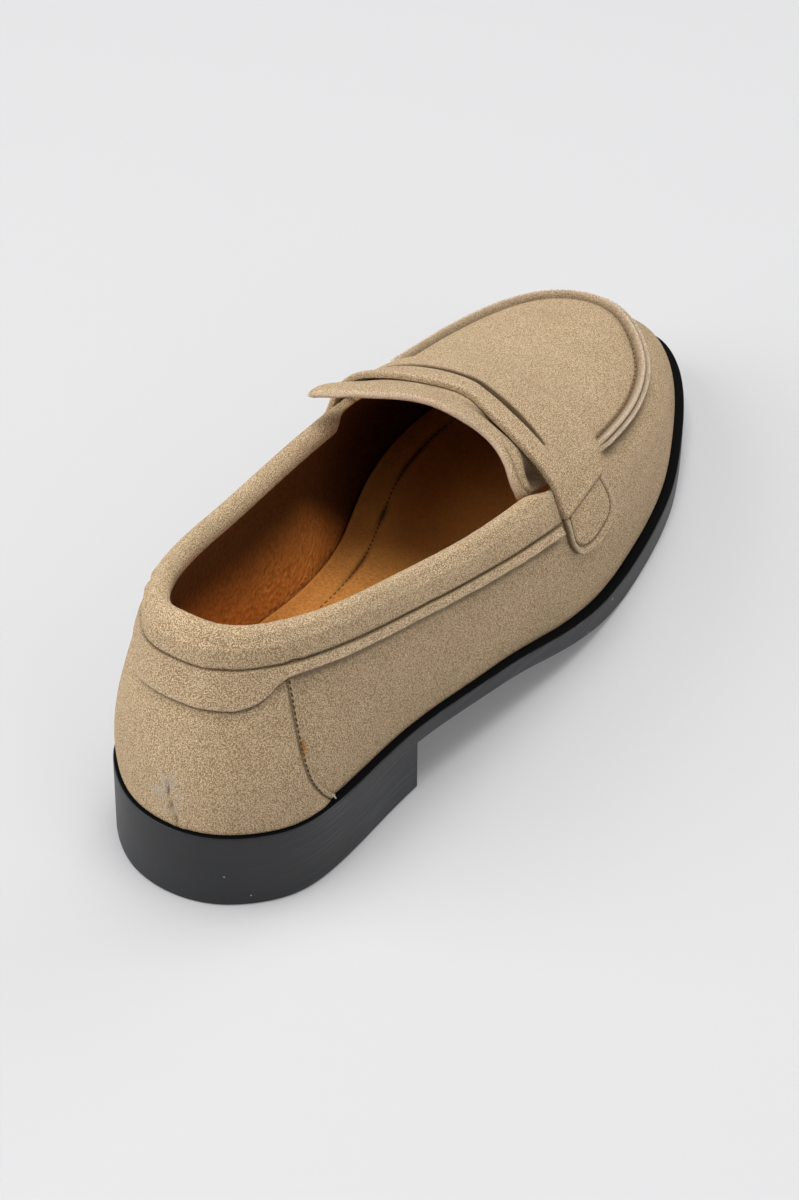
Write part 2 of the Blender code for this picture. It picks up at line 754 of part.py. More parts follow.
def make_trim():
    """Raised strip under the collar, deeper at the heel as a tab."""
    start, end = TRIM_ENDS
    fine = np.arange(-9, 10) / 3
    u = np.concatenate([np.linspace(start, -3.4, 10), fine, np.linspace(3.4, end, 10)])
    top = trim_edge(u, "top")
    low = trim_edge(u, "low")
    depths = np.array([top + (low - top) * s for s in (0, 0.2, 0.6, 0.85, 1)])
    u = np.broadcast_to(u, depths.shape)
    profile = trim_profile(u, depths)
    high = np.full(u.shape, GAP + TRIM)
    high[0] -= 0.7
    high[-1] -= 0.4
    return shell(offset(u, profile, high), offset(u, profile, np.full(u.shape, GAP)))


def make_counter():
    """Counter wrapped round the heel under the collar trim."""
    across = np.linspace(-1, 1, 25)
    limit = np.full(len(across), 0.7)
    for _ in range(6):
        top = abs(across) * look_up(COUNTER_SEAM, COUNTER_NAMES, "station", limit)
        limit = trim_profile(top, trim_edge(top, "low") + 2 * GAP)
    rows = []
    places = []
    for share in (0.006, 0.06, 0.2, 0.35, 0.5, 0.65, 0.8, 0.93, 1):
        profile = limit * share
        seam = look_up(COUNTER_SEAM, COUNTER_NAMES, "station", profile)
        places.append(across * seam)
        rows.append(profile)
    u = np.array(places)
    profiles = np.array(rows)
    high = np.full(u.shape, GAP + COUNTER)
    return shell(offset(u, profiles, high), offset(u, profiles, np.full(u.shape, GAP)))


def make_material(name, colour, roughness):
    """Plain surface for one piece."""
    material = bpy.data.materials.new(name)
    material.use_nodes = True
    shader = material.node_tree.nodes["Principled BSDF"]
    shader.inputs["Base Color"].default_value = (*colour, 1)
    shader.inputs["Roughness"].default_value = roughness
    material.diffuse_color = (*colour, 1)
    return material


def clear_scene():
    """Remove what the start-up file brings."""
    for obj in list(bpy.data.objects):
        bpy.data.objects.remove(obj, do_unlink=True)


PIECES = (
    ("sole", make_sole, (0.012, 0.012, 0.013), 0.45),
    ("upper", make_upper, (0.46, 0.36, 0.22), 0.95),
    ("insole", make_insole, (0.36, 0.17, 0.06), 0.6),
    ("tongue", make_tongue, (0.46, 0.36, 0.22), 0.95),
    ("strap", make_strap, (0.47, 0.37, 0.23), 0.95),
    ("collar_trim", make_trim, (0.45, 0.35, 0.21), 0.95),
    ("counter", make_counter, (0.45, 0.35, 0.21), 0.95),
)


def main():
    """Build every piece of the shoe."""
    clear_scene()
    collection = bpy.data.collections.new("suede_loafer")
    bpy.context.scene.collection.children.link(collection)
    for name, make, colour, roughness in PIECES:
        solid = make()
        obj = solid.build(name, make_material(name, colour, roughness), collection)
        faces = len(obj.data.polygons)
        print(f"{name}: {len(obj.data.vertices)} points, {faces} faces")


main()
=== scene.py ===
# %% [markdown]
# # A suede loafer, dressed for its photograph
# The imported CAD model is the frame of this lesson. Every main piece below takes the place of
# one CAD node, in the same metres and from the same origin, and the small pieces are sewn on
# to those. The shoe is a right one: its toe points along +Y, its outer side faces +X, and it
# stands on Z = 0.

# %% The frame
import math

import bmesh
import bpy
import numpy as np
from mathutils import Matrix, Vector


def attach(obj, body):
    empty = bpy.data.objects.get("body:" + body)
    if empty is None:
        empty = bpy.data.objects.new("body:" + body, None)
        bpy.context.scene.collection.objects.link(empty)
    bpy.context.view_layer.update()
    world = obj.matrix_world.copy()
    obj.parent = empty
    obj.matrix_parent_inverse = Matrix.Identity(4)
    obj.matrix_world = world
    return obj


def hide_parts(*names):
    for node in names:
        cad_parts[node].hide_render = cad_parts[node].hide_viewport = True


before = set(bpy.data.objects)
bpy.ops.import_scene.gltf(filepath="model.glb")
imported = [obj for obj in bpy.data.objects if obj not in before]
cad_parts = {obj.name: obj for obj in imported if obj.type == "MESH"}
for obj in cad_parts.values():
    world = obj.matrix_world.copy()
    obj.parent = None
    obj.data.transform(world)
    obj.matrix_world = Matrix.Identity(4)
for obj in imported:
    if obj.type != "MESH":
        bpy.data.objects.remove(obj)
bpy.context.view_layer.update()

print("CAD nodes:", ", ".join(sorted(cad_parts)))

# %% [markdown]
# ## Camera
# The photograph looks down on the heel from the outer side, through a long lens. A camera can
# be placed by eye, but then no size that is read from the picture could be trusted. This one
# was fitted as a pinhole camera to the outline of the sole and the collar, so it is written as
# a place, a direction and a small roll. Only floor is in view, and so no horizon shows.

# %% Camera
CAMERA_PLACE = (0.35984, -0.57282, 0.59312)
CAMERA_YAW = 32.74
CAMERA_FALL = 41.14
CAMERA_ROLL = 0.40
CAMERA_LENS = 96.0


def camera_axes():
    """Right, up and back directions of the camera."""
    yaw, fall, roll = (math.radians(a) for a in (CAMERA_YAW, CAMERA_FALL, CAMERA_ROLL))
    flat = np.array((math.cos(yaw), math.sin(yaw), 0.0))
    ahead = np.array((-math.sin(yaw), math.cos(yaw), 0.0)) * math.cos(fall)
    ahead = ahead - np.array((0.0, 0.0, math.sin(fall)))
    upright = np.cross(flat, ahead)
    right = flat * math.cos(roll) + upright * math.sin(roll)
    top = upright * math.cos(roll) - flat * math.sin(roll)
    return right, top, -ahead


camera = bpy.data.objects.new("camera", bpy.data.cameras.new("camera"))
bpy.context.scene.collection.objects.link(camera)
pose = Matrix.Identity(4)
for column_number, axis in enumerate((*camera_axes(), CAMERA_PLACE)):
    for row_number in range(3):
        pose[row_number][column_number] = axis[row_number]
camera.matrix_world = pose
camera.data.lens = CAMERA_LENS
bpy.context.scene.camera = camera
print("camera looks down", CAMERA_FALL, "degrees through a", CAMERA_LENS, "mm lens")

# %% [markdown]
# ## The form of the last
# A shoe is pulled over a last, and every suede piece follows that one form. It could be
# sculpted, but then each piece would have to be fitted to the next by hand. Here it is a table
# in millimetres, from the back of the sole to the toe: the sole's rim, the shoulder line, which
# is the collar edge and further on the apron seam, and the crest over the foot. A cubic that
# never overshoots runs through each column, so any piece can ask for any place.


# %% Tables with smooth columns
def hermite_number(a, ta, b, tb, t):
    """Cubic from a to b with end slopes."""
    first = a * (1 + 2 * t) * (1 - t) ** 2 + ta * t * (1 - t) ** 2
    return first + b * t * t * (3 - 2 * t) + tb * t * t * (t - 1)


class Table:
    """Rows of named numbers, the first of them the place, with a curve through each column."""

    def __init__(self, names, rows):
        self.names = names.split()
        self.rows = np.array(rows, float)

    def column(self, name):
        """One named column."""
        return self.rows[:, self.names.index(name)]

    def at(self, name, x):
        """A named column at places x, by a monotone cubic."""
        xs = self.rows[:, 0]
        ys = self.column(name)
        step = np.diff(xs)
        rate = np.diff(ys) / step
        slope = np.concatenate([rate[:1], 0 * rate[1:], rate[-1:]])
        same = rate[:-1] * rate[1:] > 0
        pair = np.where(same, rate[:-1] + rate[1:], 1.0)
        slope[1:-1] = np.where(same, 2 * rate[:-1] * rate[1:] / pair, 0.0)
        x = np.clip(np.asarray(x, float), xs[0], xs[-1])
        i = np.clip(np.searchsorted(xs, x, side="right") - 1, 0, len(xs) - 2)
        t = (x - xs[i]) / step[i]
        return hermite_number(ys[i], slope[i] * step[i], ys[i + 1], slope[i + 1] * step[i], t)


print("halfway from 0 to 1 the level cubic stands at", hermite_number(0.0, 0.0, 1.0, 0.0, 0.5))

# %% Tables of the last
SECTIONS = Table("rim_y rim_out rim_in shelf out_x out_y out_z in_x in_y in_z"
                 " foot_lean top_lean apron_rise crest_y", (
    (0.0, 0.0, 0.0, 2.5, 0.0, 9.8, 81.0, 0.0, 9.8, 81.0, 7, 6, 62, -40),
    (2.9, 13.0, -13.0, 2.5, 9.3, 11.6, 80.6, -8.8, 11.8, 80.6, 7, 6, 62, -22),
    (11.2, 23.8, -23.8, 2.5, 17.3, 19.5, 79.2, -16.2, 19.9, 79.2, 7, 7, 62, -4),
    (22.2, 30.1, -30.1, 2.4, 22.3, 31.0, 76.8, -21.3, 31.0, 76.8, 7, 8, 62, 16),
    (40.0, 32.2, -32.2, 2.3, 25.8, 46.0, 73.0, -24.8, 46.0, 73.5, 7, 9, 62, 38),
    (64.0, 32.9, -30.3, 2.2, 28.2, 66.0, 68.0, -27.0, 64.0, 70.0, 7, 10, 62, 60),
    (88.0, 36.0, -28.6, 2.4, 30.2, 87.0, 63.0, -28.7, 83.0, 67.5, 9, 12, 62, 82),
    (111.0, 39.2, -31.4, 2.8, 31.8, 107.0, 59.0, -30.3, 101.5, 65.0, 11, 15, 60, 104),
    (134.0, 42.0, -39.8, 3.0, 32.6, 127.0, 56.2, -32.0, 120.5, 61.8, 13, 21, 55, 125),
    (157.0, 41.5, -48.0, 3.0, 31.6, 146.0, 53.2, -33.8, 141.5, 57.0, 14, 28, 48, 145),
    (181.0, 38.3, -51.0, 3.1, 29.6, 166.0, 49.2, -35.0, 163.5, 51.2, 11, 34, 41, 163),
    (204.0, 32.7, -48.4, 3.0, 25.2, 188.0, 43.3, -35.5, 186.0, 46.0, 6, 39, 35, 180),
    (224.0, 24.4, -41.5, 2.9, 18.6, 207.0, 39.8, -34.2, 206.5, 41.6, 0, 43, 31, 193),
    (240.0, 15.9, -31.8, 2.8, 10.7, 220.0, 37.9, -29.2, 224.0, 38.6, -7, 45, 28, 202),
    (252.0, 6.3, -19.8, 2.7, 1.5, 230.0, 36.9, -19.8, 234.6, 36.8, -13, 46, 26, 207),
    (258.0, -6.2, -6.2, 2.6, -8.6, 236.0, 36.4, -8.6, 236.0, 36.4, -16, 46, 25, 209),
))
CREST = Table("y x z", (
    (80.0, 1.0, 92.0), (106.0, 1.0, 84.2), (127.0, 0.6, 76.4), (150.0, -0.4, 66.8),
    (174.0, -2.6, 57.6), (192.0, -5.0, 51.4), (209.0, -7.2, 46.4), (240.0, -9.0, 40.0),
))
SOLE = Table("y top tread", (
    (-10.0, 23.9, 17.6), (30.0, 22.9, 17.2), (64.0, 21.4, 15.9), (103.0, 17.7, 12.0),
    (135.0, 11.6, 4.8), (152.0, 9.0, 1.2), (165.0, 8.3, 0.0), (200.0, 8.3, 0.0),
    (219.0, 9.6, 1.4), (240.0, 12.2, 4.0), (258.0, 15.2, 7.0), (270.0, 17.4, 9.2),
))
SOLE_LENGTH = 258.0
HEEL_FLARE = 0.5
STATIONS = len(SECTIONS.rows) - 1
LOOP = 2 * STATIONS
GAP = 0.3
WALL = 2.2
print("the last has", len(SECTIONS.rows), "sections over", SOLE_LENGTH, "mm")

# %% [markdown]
# ### Curves round the shoe
# The rim and the shoulder line run round the whole shoe without a corner or a seam. Bezier
# handles could be set by hand at every section. A closed cubic spline needs none: one set of
# equations gives its slopes, so that it bends evenly through every section of the table.


# %% Curves round the shoe
def make_loop(name_out, name_in):
    """Closed smooth curve round the shoe, as values and slopes at the stations."""
    values = np.concatenate([SECTIONS.column(name_out), SECTIONS.column(name_in)[-2:0:-1]])
    unit_matrix = np.eye(len(values))
    matrix = 4 * unit_matrix + np.roll(unit_matrix, 1, 0) + np.roll(unit_matrix, -1, 0)
    return values, np.linalg.solve(matrix, 3 * (np.roll(values, -1) - np.roll(values, 1)))


SAME_BOTH_SIDES = ("rim_y", "shelf", "foot_lean", "top_lean", "apron_rise", "crest_y")
LOOPS = {name: make_loop(name, name) for name in SAME_BOTH_SIDES}
LOOPS["rim_x"] = make_loop("rim_out", "rim_in")
for letter in "xyz":
    LOOPS["top_" + letter] = make_loop("out_" + letter, "in_" + letter)


def around(name, u, slope=False):
    """A closed curve, or its slope, at places u round the shoe."""
    values, slopes = LOOPS[name]
    u = np.mod(np.asarray(u, float), LOOP)
    i = np.floor(u).astype(int) % LOOP
    j = (i + 1) % LOOP
    t = u - np.floor(u)
    if slope:
        rise = 6 * t * (1 - t) * (values[j] - values[i])
        return rise + slopes[i] * (1 - 4 * t + 3 * t * t) + slopes[j] * (3 * t * t - 2 * t)
    return hermite_number(values[i], slopes[i], values[j], slopes[j], t)


print("closed curves:", ", ".join(sorted(LOOPS)))

# %% [markdown]
# ### Points on the form
# At each place round the shoe, a wall leans up from the sole's shelf to the shoulder line, and
# a top arches on from there to the crest. Both are cubics with a given lean at their ends. Two
# numbers then name any point of the shoe, the place round it and the height in its section,
# and a distance along the normal lifts a piece off the form. Shrinkwrap could pull a mesh on to
# the CAD model, but it would follow flat faces, and this follows the true curve.


# %% Lines of the last
def stack(*parts):
    """Coordinates as the last axis of one array."""
    return np.stack(np.broadcast_arrays(*parts), -1)


def unit(v):
    """Vectors of length one."""
    return v / np.maximum(np.linalg.norm(v, axis=-1), 1e-9)[..., None]


def out_normal(u):
    """Unit vector in plan, pointing out of the rim."""
    return unit(stack(around("rim_y", u, True), -around("rim_x", u, True)))


def rim(u, inset=0.0):
    """Rim of the sole in plan, moved in by an inset."""
    point = stack(around("rim_x", u), around("rim_y", u))
    return point - out_normal(u) * np.asarray(inset, float)[..., None]


def sole_top(y):
    """Height of the sole's top."""
    return SOLE.at("top", y)


def station(u):
    """Station counted from the centre back on either side."""
    u = np.mod(np.asarray(u, float), LOOP)
    return np.where(u > STATIONS, LOOP - u, u)


def crest(y):
    """Middle line over the foot."""
    return stack(CREST.at("x", y), y, CREST.at("z", y))


def crest_slope(y):
    """Fall of the middle line towards the toe."""
    return (crest(y + 0.5) - crest(y - 0.5))[..., 2]


def foot_point(u):
    """Foot of the wall on the shelf."""
    plan = rim(u, around("shelf", u))
    return stack(plan[..., 0], plan[..., 1], sole_top(plan[..., 1]) + GAP)


def shoulder(u):
    """Collar edge and apron seam."""
    return stack(around("top_x", u), around("top_y", u), around("top_z", u))


def wall_length(u):
    """Straight height of the wall in its section."""
    return np.linalg.norm(shoulder(u) - foot_point(u), axis=-1)


def top_length(u):
    """Straight length of the top in its section."""
    return np.linalg.norm(crest(around("crest_y", u)) - shoulder(u), axis=-1)


print("at the back the collar stands", float(shoulder(0.0)[2]), "mm high")


# %% Points on the form
def smooth(x, start, end):
    """Soft step from 0 at start to 1 at end."""
    t = np.clip((np.asarray(x, float) - start) / (end - start), 0, 1)
    return t * t * (3 - 2 * t)


def hermite(a, ta, b, tb, t):
    """Cubic between points with end tangents."""
    return hermite_number(a, ta, b, tb, np.asarray(t, float)[..., None])


def tilted(plan, angle, sign):
    """Vector leaning from upright along a plan direction by an angle in degrees."""
    a = np.radians(angle)
    flat = plan * (sign * np.sin(a))[..., None]
    return stack(flat[..., 0], flat[..., 1], np.cos(a))


def surface(u, profile):
    """The form: profile 0 to 1 is the wall, 1 to 2 the top."""
    u, profile = np.broadcast_arrays(np.asarray(u, float), np.asarray(profile, float))
    top = shoulder(u)
    normal = out_normal(u)
    size = wall_length(u)[..., None]
    low = tilted(normal, around("foot_lean", u), 1) * size
    high = tilted(normal, around("top_lean", u), -1) * size
    wall = hermite(foot_point(u), low, top, high, np.clip(profile, 0, 1))
    crest_y = around("crest_y", u)
    middle = crest(crest_y)
    inward = unit((middle - top)[..., :2])
    reach = top_length(u)[..., None]
    start = tilted(inward, 90 - around("apron_rise", u), 1) * reach
    level = stack(inward[..., 0], inward[..., 1], inward[..., 1] * crest_slope(crest_y))
    over = hermite(top, start, middle, level * reach, np.clip(profile - 1, 0, 1))
    return np.where((profile <= 1)[..., None], wall, over)


def surface_normal(u, profile):
    """Outward normal of the form."""
    u, profile = np.broadcast_arrays(np.asarray(u, float), np.asarray(profile, float))
    step = 0.02
    along = surface(u + step, profile) - surface(u - step, profile)
    up = surface(u, np.clip(profile + step, 0, 2)) - surface(u, np.clip(profile - step, 0, 2))
    normal = unit(np.cross(along, up))
    fall = crest_slope(around("crest_y", u))
    flat = unit(stack(0 * fall, -fall, 1 + 0 * fall))
    near = smooth(profile, 1.93, 1.99)[..., None]
    return unit(normal * (1 - near) + flat * near)


def offset(u, profile, distance):
    """Point of the form moved out along its normal."""
    return surface(u, profile) + surface_normal(u, profile) * np.asarray(distance, float)[..., None]


INSTEP = surface(np.array([9.0]), np.array([2.0]))[0]
print("a point on the instep, in shoe millimetres:", [round(float(v), 1) for v in INSTEP])

# %% Shoe millimetres to metres
RIM_X = around("rim_x", np.arange(0, 3 * LOOP) / 3)
FOOT_MID = ((RIM_X.max() + RIM_X.min()) / 2, (SOLE_LENGTH - HEEL_FLARE) / 2, 0.0)


def place(points):
    """Shoe millimetres to the frame's metres."""
    return (np.asarray(points, float) - FOOT_MID) / 1000


print("middle of the footprint in shoe millimetres:", [round(float(v), 2) for v in FOOT_MID])

# %% [markdown]
# ## Finishes
# Suede, leather, rubber and thread differ in colour, nap and gloss. Photographs of them could
# be wrapped round the pieces, but small trees of shader nodes stay sharp from every side.
# Dozens of nodes linked one by one are hard to read, so one small class wraps a socket and
# overloads the operators, and shader maths reads as Python sums. Every other node comes from
# one method that sets the node's options first and then fills or links its sockets.


# %% Number sockets
class Value:
    """A number socket that can be used in Python sums."""

    def __init__(self, tree, socket):
        self.tree = tree
        self.socket = socket

    def math(self, operation, other, swapped=False):
        node = self.tree.nodes.new("ShaderNodeMath")
        node.operation = operation
        pair = (other, self) if swapped else (self, other)
        for socket, item in zip(node.inputs, pair):
            join(self.tree, socket, item)
        return Value(self.tree, node.outputs[0])

    def __add__(self, other):
        return self.math("ADD", other)

    __radd__ = __add__

    def __sub__(self, other):
        return self.math("SUBTRACT", other)

    def __rsub__(self, other):
        return self.math("SUBTRACT", other, True)

    def __mul__(self, other):
        return self.math("MULTIPLY", other)

    __rmul__ = __mul__

    def at_most(self, other):
        return self.math("MINIMUM", other)


def join(tree, socket, item):
    """Link a wrapped socket, or set a plain value."""
    if isinstance(item, Value):
        tree.links.new(item.socket, socket)
    else:
        socket.default_value = item


print("number sockets can be added, subtracted, multiplied and capped")


# %% Materials
class Finish:
    """One material, built node by node."""

    def __init__(self, name, **constants):
        self.material = bpy.data.materials.new(name)
        self.material.use_nodes = True
        self.tree = self.material.node_tree
        self.shader = self.tree.nodes["Principled BSDF"]
        for key, value in constants.items():
            socket = key.replace("_", " ").title().replace("Ior", "IOR")
            self.shader.inputs[socket].default_value = value
        self.where = self.node("ShaderNodeTexCoord", output="Object")

    def node(self, kind, settings=None, sockets=None, output=0):
        """A node with its options set first, then its sockets; one output comes back."""
        node = self.tree.nodes.new(kind)
        for key, value in (settings or {}).items():
            setattr(node, key, value)
        for key, item in (sockets or {}).items():
            join(self.tree, node.inputs[key], item)
        return Value(self.tree, node.outputs[output])

    def noise(self, scale, detail=2.0, rough=0.55, where=None):
        """Cloudy numbers about one half, scale features to the metre."""
        sockets = {"Vector": where or self.where, "Scale": scale, "Detail": detail, "Roughness": rough}
        return self.node("ShaderNodeTexNoise", {"noise_dimensions": "3D"}, sockets)

    def spread(self, value, low, high, start=0.0, end=1.0):
        """A number's range low to high, softly stretched to start and end."""
        sockets = {"Value": value, "From Min": low, "From Max": high, "To Min": start, "To Max": end}
        return self.node("ShaderNodeMapRange", {"interpolation_type": "SMOOTHSTEP"}, sockets)

    def painted(self, name):
        """A value stored on the piece's own points."""
        return self.node("ShaderNodeAttribute", {"attribute_name": name}, output="Fac")

    def mix(self, factor, first, second, blend="MIX"):
        """Colour between two colours."""
        settings = {"data_type": "RGBA", "blend_type": blend}
        return self.node("ShaderNodeMix", settings, {0: factor, 6: first, 7: second}, output=2)

    def grey(self, value):
        """A number as a grey colour."""
        return self.node("ShaderNodeCombineColor", None, {0: value, 1: value, 2: value})

    def near(self, point, radius, squash=(1, 1, 1)):
        """1 at a point of the shoe, falling to 0 at a radius in millimetres."""
        size = [1000 * s / radius for s in squash]
        centre = place(point)
        shift = tuple(-c * s for c, s in zip(centre, size))
        settings = {"vector_type": "POINT"}
        sockets = {"Vector": self.where, "Location": shift, "Scale": size}
        moved = self.node("ShaderNodeMapping", settings, sockets)
        far = self.node("ShaderNodeVectorMath", {"operation": "LENGTH"}, {0: moved}, output="Value")
        return self.spread(far, 0.0, 1.0, 1.0, 0.0)

    def feed(self, socket, value):
        """Send a value to the shader."""
        join(self.tree, self.shader.inputs[socket], value)

    def bump(self, height, depth, strength=1.0):
        """Bump with a depth in millimetres."""
        sockets = {"Height": height, "Distance": depth / 1000, "Strength": strength}
        self.feed("Normal", self.node("ShaderNodeBump", None, sockets, output="Normal"))


def colour(red, green, blue):
    """A colour as the shader wants it."""
    return (red, green, blue, 1.0)


print("every finish starts from one shader and the Object coordinates")

# %% [markdown]
# ### Suede
# Suede is the napped flesh side of the hide. Close up it is a field of tufts well under a
# millimetre across, some lit and some in their own shade, on patches where the nap was brushed
# one way or the other. It has no gloss, only a faint sheen at glancing angles. Hair particles
# could make real fibres, but it would take millions. Here Voronoi cells give the tufts, and
# noise gives the fibres, the mottling and the brushed patches. Values painted on the points
# darken the stitch grooves and paint shade under edges and beside seams, pale the cut edges and
# paint highlights on raised borders, and three marks sit at their own places.

# %% Suede colours and marks
SUEDE_DARK = colour(0.370, 0.230, 0.104)
SUEDE_MAIN = colour(0.720, 0.522, 0.314)
SUEDE_LIGHT = colour(1.000, 0.780, 0.525)
# Dark colour of the stitch grooves and of painted shade under edges, beside seams and in gaps
SUEDE_GROOVE_SHADE = colour(0.115, 0.070, 0.032)
# Pale colour of the cut edges and of painted highlights on raised borders
SUEDE_CUT_HIGHLIGHT = colour(0.860, 0.670, 0.500)
SUEDE_SCUFF = colour(0.640, 0.560, 0.470)
FRAY_ORANGE = colour(0.560, 0.260, 0.050)
BACK_SCUFF = (0.8, 0.8, 35.4)
FRAY_SPOT = (28.2, 23.0, 45.2)
APRON_SMUDGE = (-16.0, 213.0, 44.6)
TUFTS_PER_METRE = 2800.0
FIBRES_PER_METRE = 4500.0
MOTTLES_PER_METRE = 330.0
BRUSHED_PER_METRE = 38.0
NAP_DEPTH = 0.95
print("a suede tuft is about", round(1000 / TUFTS_PER_METRE, 2), "mm across")


# %% Suede
def make_suede(name):
    """Napped suede."""
    finish = Finish(
        name, roughness=0.95, specular_ior_level=0.12, sheen_weight=0.08, sheen_roughness=0.5,
        sheen_tint=colour(1.0, 0.86, 0.68))
    cells = {"Vector": finish.where, "Scale": TUFTS_PER_METRE}
    tuft = 1 - finish.node("ShaderNodeTexVoronoi", {"feature": "F1"}, cells, output="Distance")
    fibre = finish.noise(FIBRES_PER_METRE, 1.0, 0.5)
    brushed = finish.noise(BRUSHED_PER_METRE, 2.0, 0.5)
    mottle = finish.noise(MOTTLES_PER_METRE, 1.0, 0.5)
    nap = tuft * 0.5 + fibre * 0.5
    main = finish.mix(finish.spread(nap, 0.405, 0.625), SUEDE_DARK, SUEDE_LIGHT)
    main = finish.mix(0.15, main, SUEDE_MAIN)
    patch = finish.spread(brushed * 0.7 + mottle * 0.3, 0.3, 0.7, 0.95, 1.04)
    main = finish.mix(1.0, main, finish.grey(patch), "MULTIPLY")
    # Pale cut edges, and painted highlights along the trim's low edge and the strap's tabs
    pale_and_highlight = (finish.painted("cut") * (0.6 + 0.7 * nap)).at_most(1.0)
    main = finish.mix(pale_and_highlight, main, SUEDE_CUT_HIGHLIGHT)
    marks = (
        (BACK_SCUFF, 9.0, (1.3, 1.0, 0.8), mottle, (0.35, 0.60), 0.70, SUEDE_SCUFF),
        (APRON_SMUDGE, 10.0, (1.0, 1.0, 1.0), mottle, (0.25, 0.60), 0.30, SUEDE_DARK),
        (FRAY_SPOT, 3.2, (1.3, 1.3, 0.8), fibre, (0.42, 0.58), 0.80, FRAY_ORANGE),
    )
    for spot, radius, squash, pattern, broken_up, strength, tone in marks:
        mask = finish.near(spot, radius, squash) * finish.spread(pattern, *broken_up)
        main = finish.mix(mask * strength, main, tone)
    # Dark stitch grooves, and painted shade under edges, beside seams and in gaps
    groove = (finish.painted("groove") * (0.8 + 0.4 * nap)).at_most(1.0)
    main = finish.mix(groove, main, SUEDE_GROOVE_SHADE)
    finish.feed("Base Color", main)
    finish.feed("Roughness", 0.90 + 0.1 * nap)
    finish.bump(tuft * 0.6 + fibre * 0.4 + mottle * 0.10, NAP_DEPTH)
    return finish.material


suede = make_suede("sand_suede")
print("finish:", suede.name)

# %% [markdown]
# ### Lining and insole leather
# The inside is a soft orange-brown leather with a pebbled grain. On the walls its short nap
# streaks downwards, and on the insole the grain is finer. Two materials could be built apart,
# but only the streak and the size and depth of the pebbles differ, so one function makes both:
# Voronoi cells give the pebbles, and noise the nap and its clouds. Painted values darken the
# seams and the shaded part of the wall.

# %% Lining leather
LINING_DEEP = colour(0.310, 0.098, 0.018)
LINING_MAIN = colour(0.720, 0.300, 0.066)
LINING_LIGHT = colour(0.930, 0.410, 0.100)
# Dark colour of the seams and of painted shade on the walls
LINING_GROOVE_SHADE = colour(0.045, 0.015, 0.004)
LINING_NAP_PER_METRE = 1500.0
LINING_CLOUDS_PER_METRE = 60.0


def make_lining(name, streak, pebble, depth):
    """Soft leather; streak stretches the nap up the wall, pebble sets its grain."""
    finish = Finish(name, roughness=0.6, specular_ior_level=0.15)
    stretch = {"Vector": finish.where, "Scale": (1.0, 1.0, 1.0 / streak)}
    along = finish.node("ShaderNodeMapping", {"vector_type": "POINT"}, stretch)
    nap = finish.noise(LINING_NAP_PER_METRE, 2.0, 0.6, along)
    cloud = finish.noise(LINING_CLOUDS_PER_METRE, 3.0, 0.55)
    sockets = {"Vector": finish.where, "Scale": pebble}
    cell = finish.node("ShaderNodeTexVoronoi", {"feature": "SMOOTH_F1"}, sockets, output="Distance")
    tone = finish.spread(nap * 0.45 + cloud * 0.25 + (1.0 - cell) * 0.30, 0.27, 0.72)
    main = finish.mix(tone, LINING_DEEP, LINING_LIGHT)
    main = finish.mix(0.40, main, LINING_MAIN)
    # Pale cut edges, and painted light on the insole's front
    main = finish.mix(finish.painted("cut"), main, LINING_LIGHT)
    # Dark seams, and painted shade on the walls
    main = finish.mix(finish.painted("groove"), main, LINING_GROOVE_SHADE)
    finish.feed("Base Color", main)
    finish.feed("Roughness", 0.50 + 0.2 * nap)
    finish.bump(nap * 0.5 + cloud * 0.4 - cell * 0.8, depth)
    return finish.material


lining_leather = make_lining("lining_leather", streak=2.0, pebble=800.0, depth=0.80)
insole_leather = make_lining("insole_leather", streak=1.0, pebble=1300.0, depth=0.24)
print("finishes:", lining_leather.name, insole_leather.name)

# %% [markdown]
# ### Rubber
# The sole is moulded black rubber. Its side was trimmed, which leaves fine streaks along the
# edge and a satin gloss, and its top shelf is dull and nearly without light. Paler streaks
# carry a painted sheen. Streaks that follow Object coordinates would run straight through a
# curved sole. So two values on its points, the run along the rim and the height, let them
# follow it, with more painted sheen ahead of the heel.

# %% Rubber
RUBBER_BLACK = colour(0.0070, 0.0075, 0.0092)
RUBBER_STREAK_SHEEN = colour(0.066, 0.069, 0.077)
RUBBER_SPECK = colour(0.55, 0.55, 0.55)
SHELF_BLACK = colour(0.003, 0.003, 0.003)
SHELF_DUST = colour(0.45, 0.43, 0.40)
DUST_SPOT = (4.0, 0.0, 23.5)
DUST_RADIUS = 14.0
DUST_PER_METRE = 520.0
GRAIN_PER_METRE = 900.0
CLOUDS_PER_METRE = 38.0
SPECKS_PER_METRE = 420.0
STREAK_ALONG = 0.035
STREAK_UP = 2.6
SHEEN_AHEAD = (16.0, 60.0)


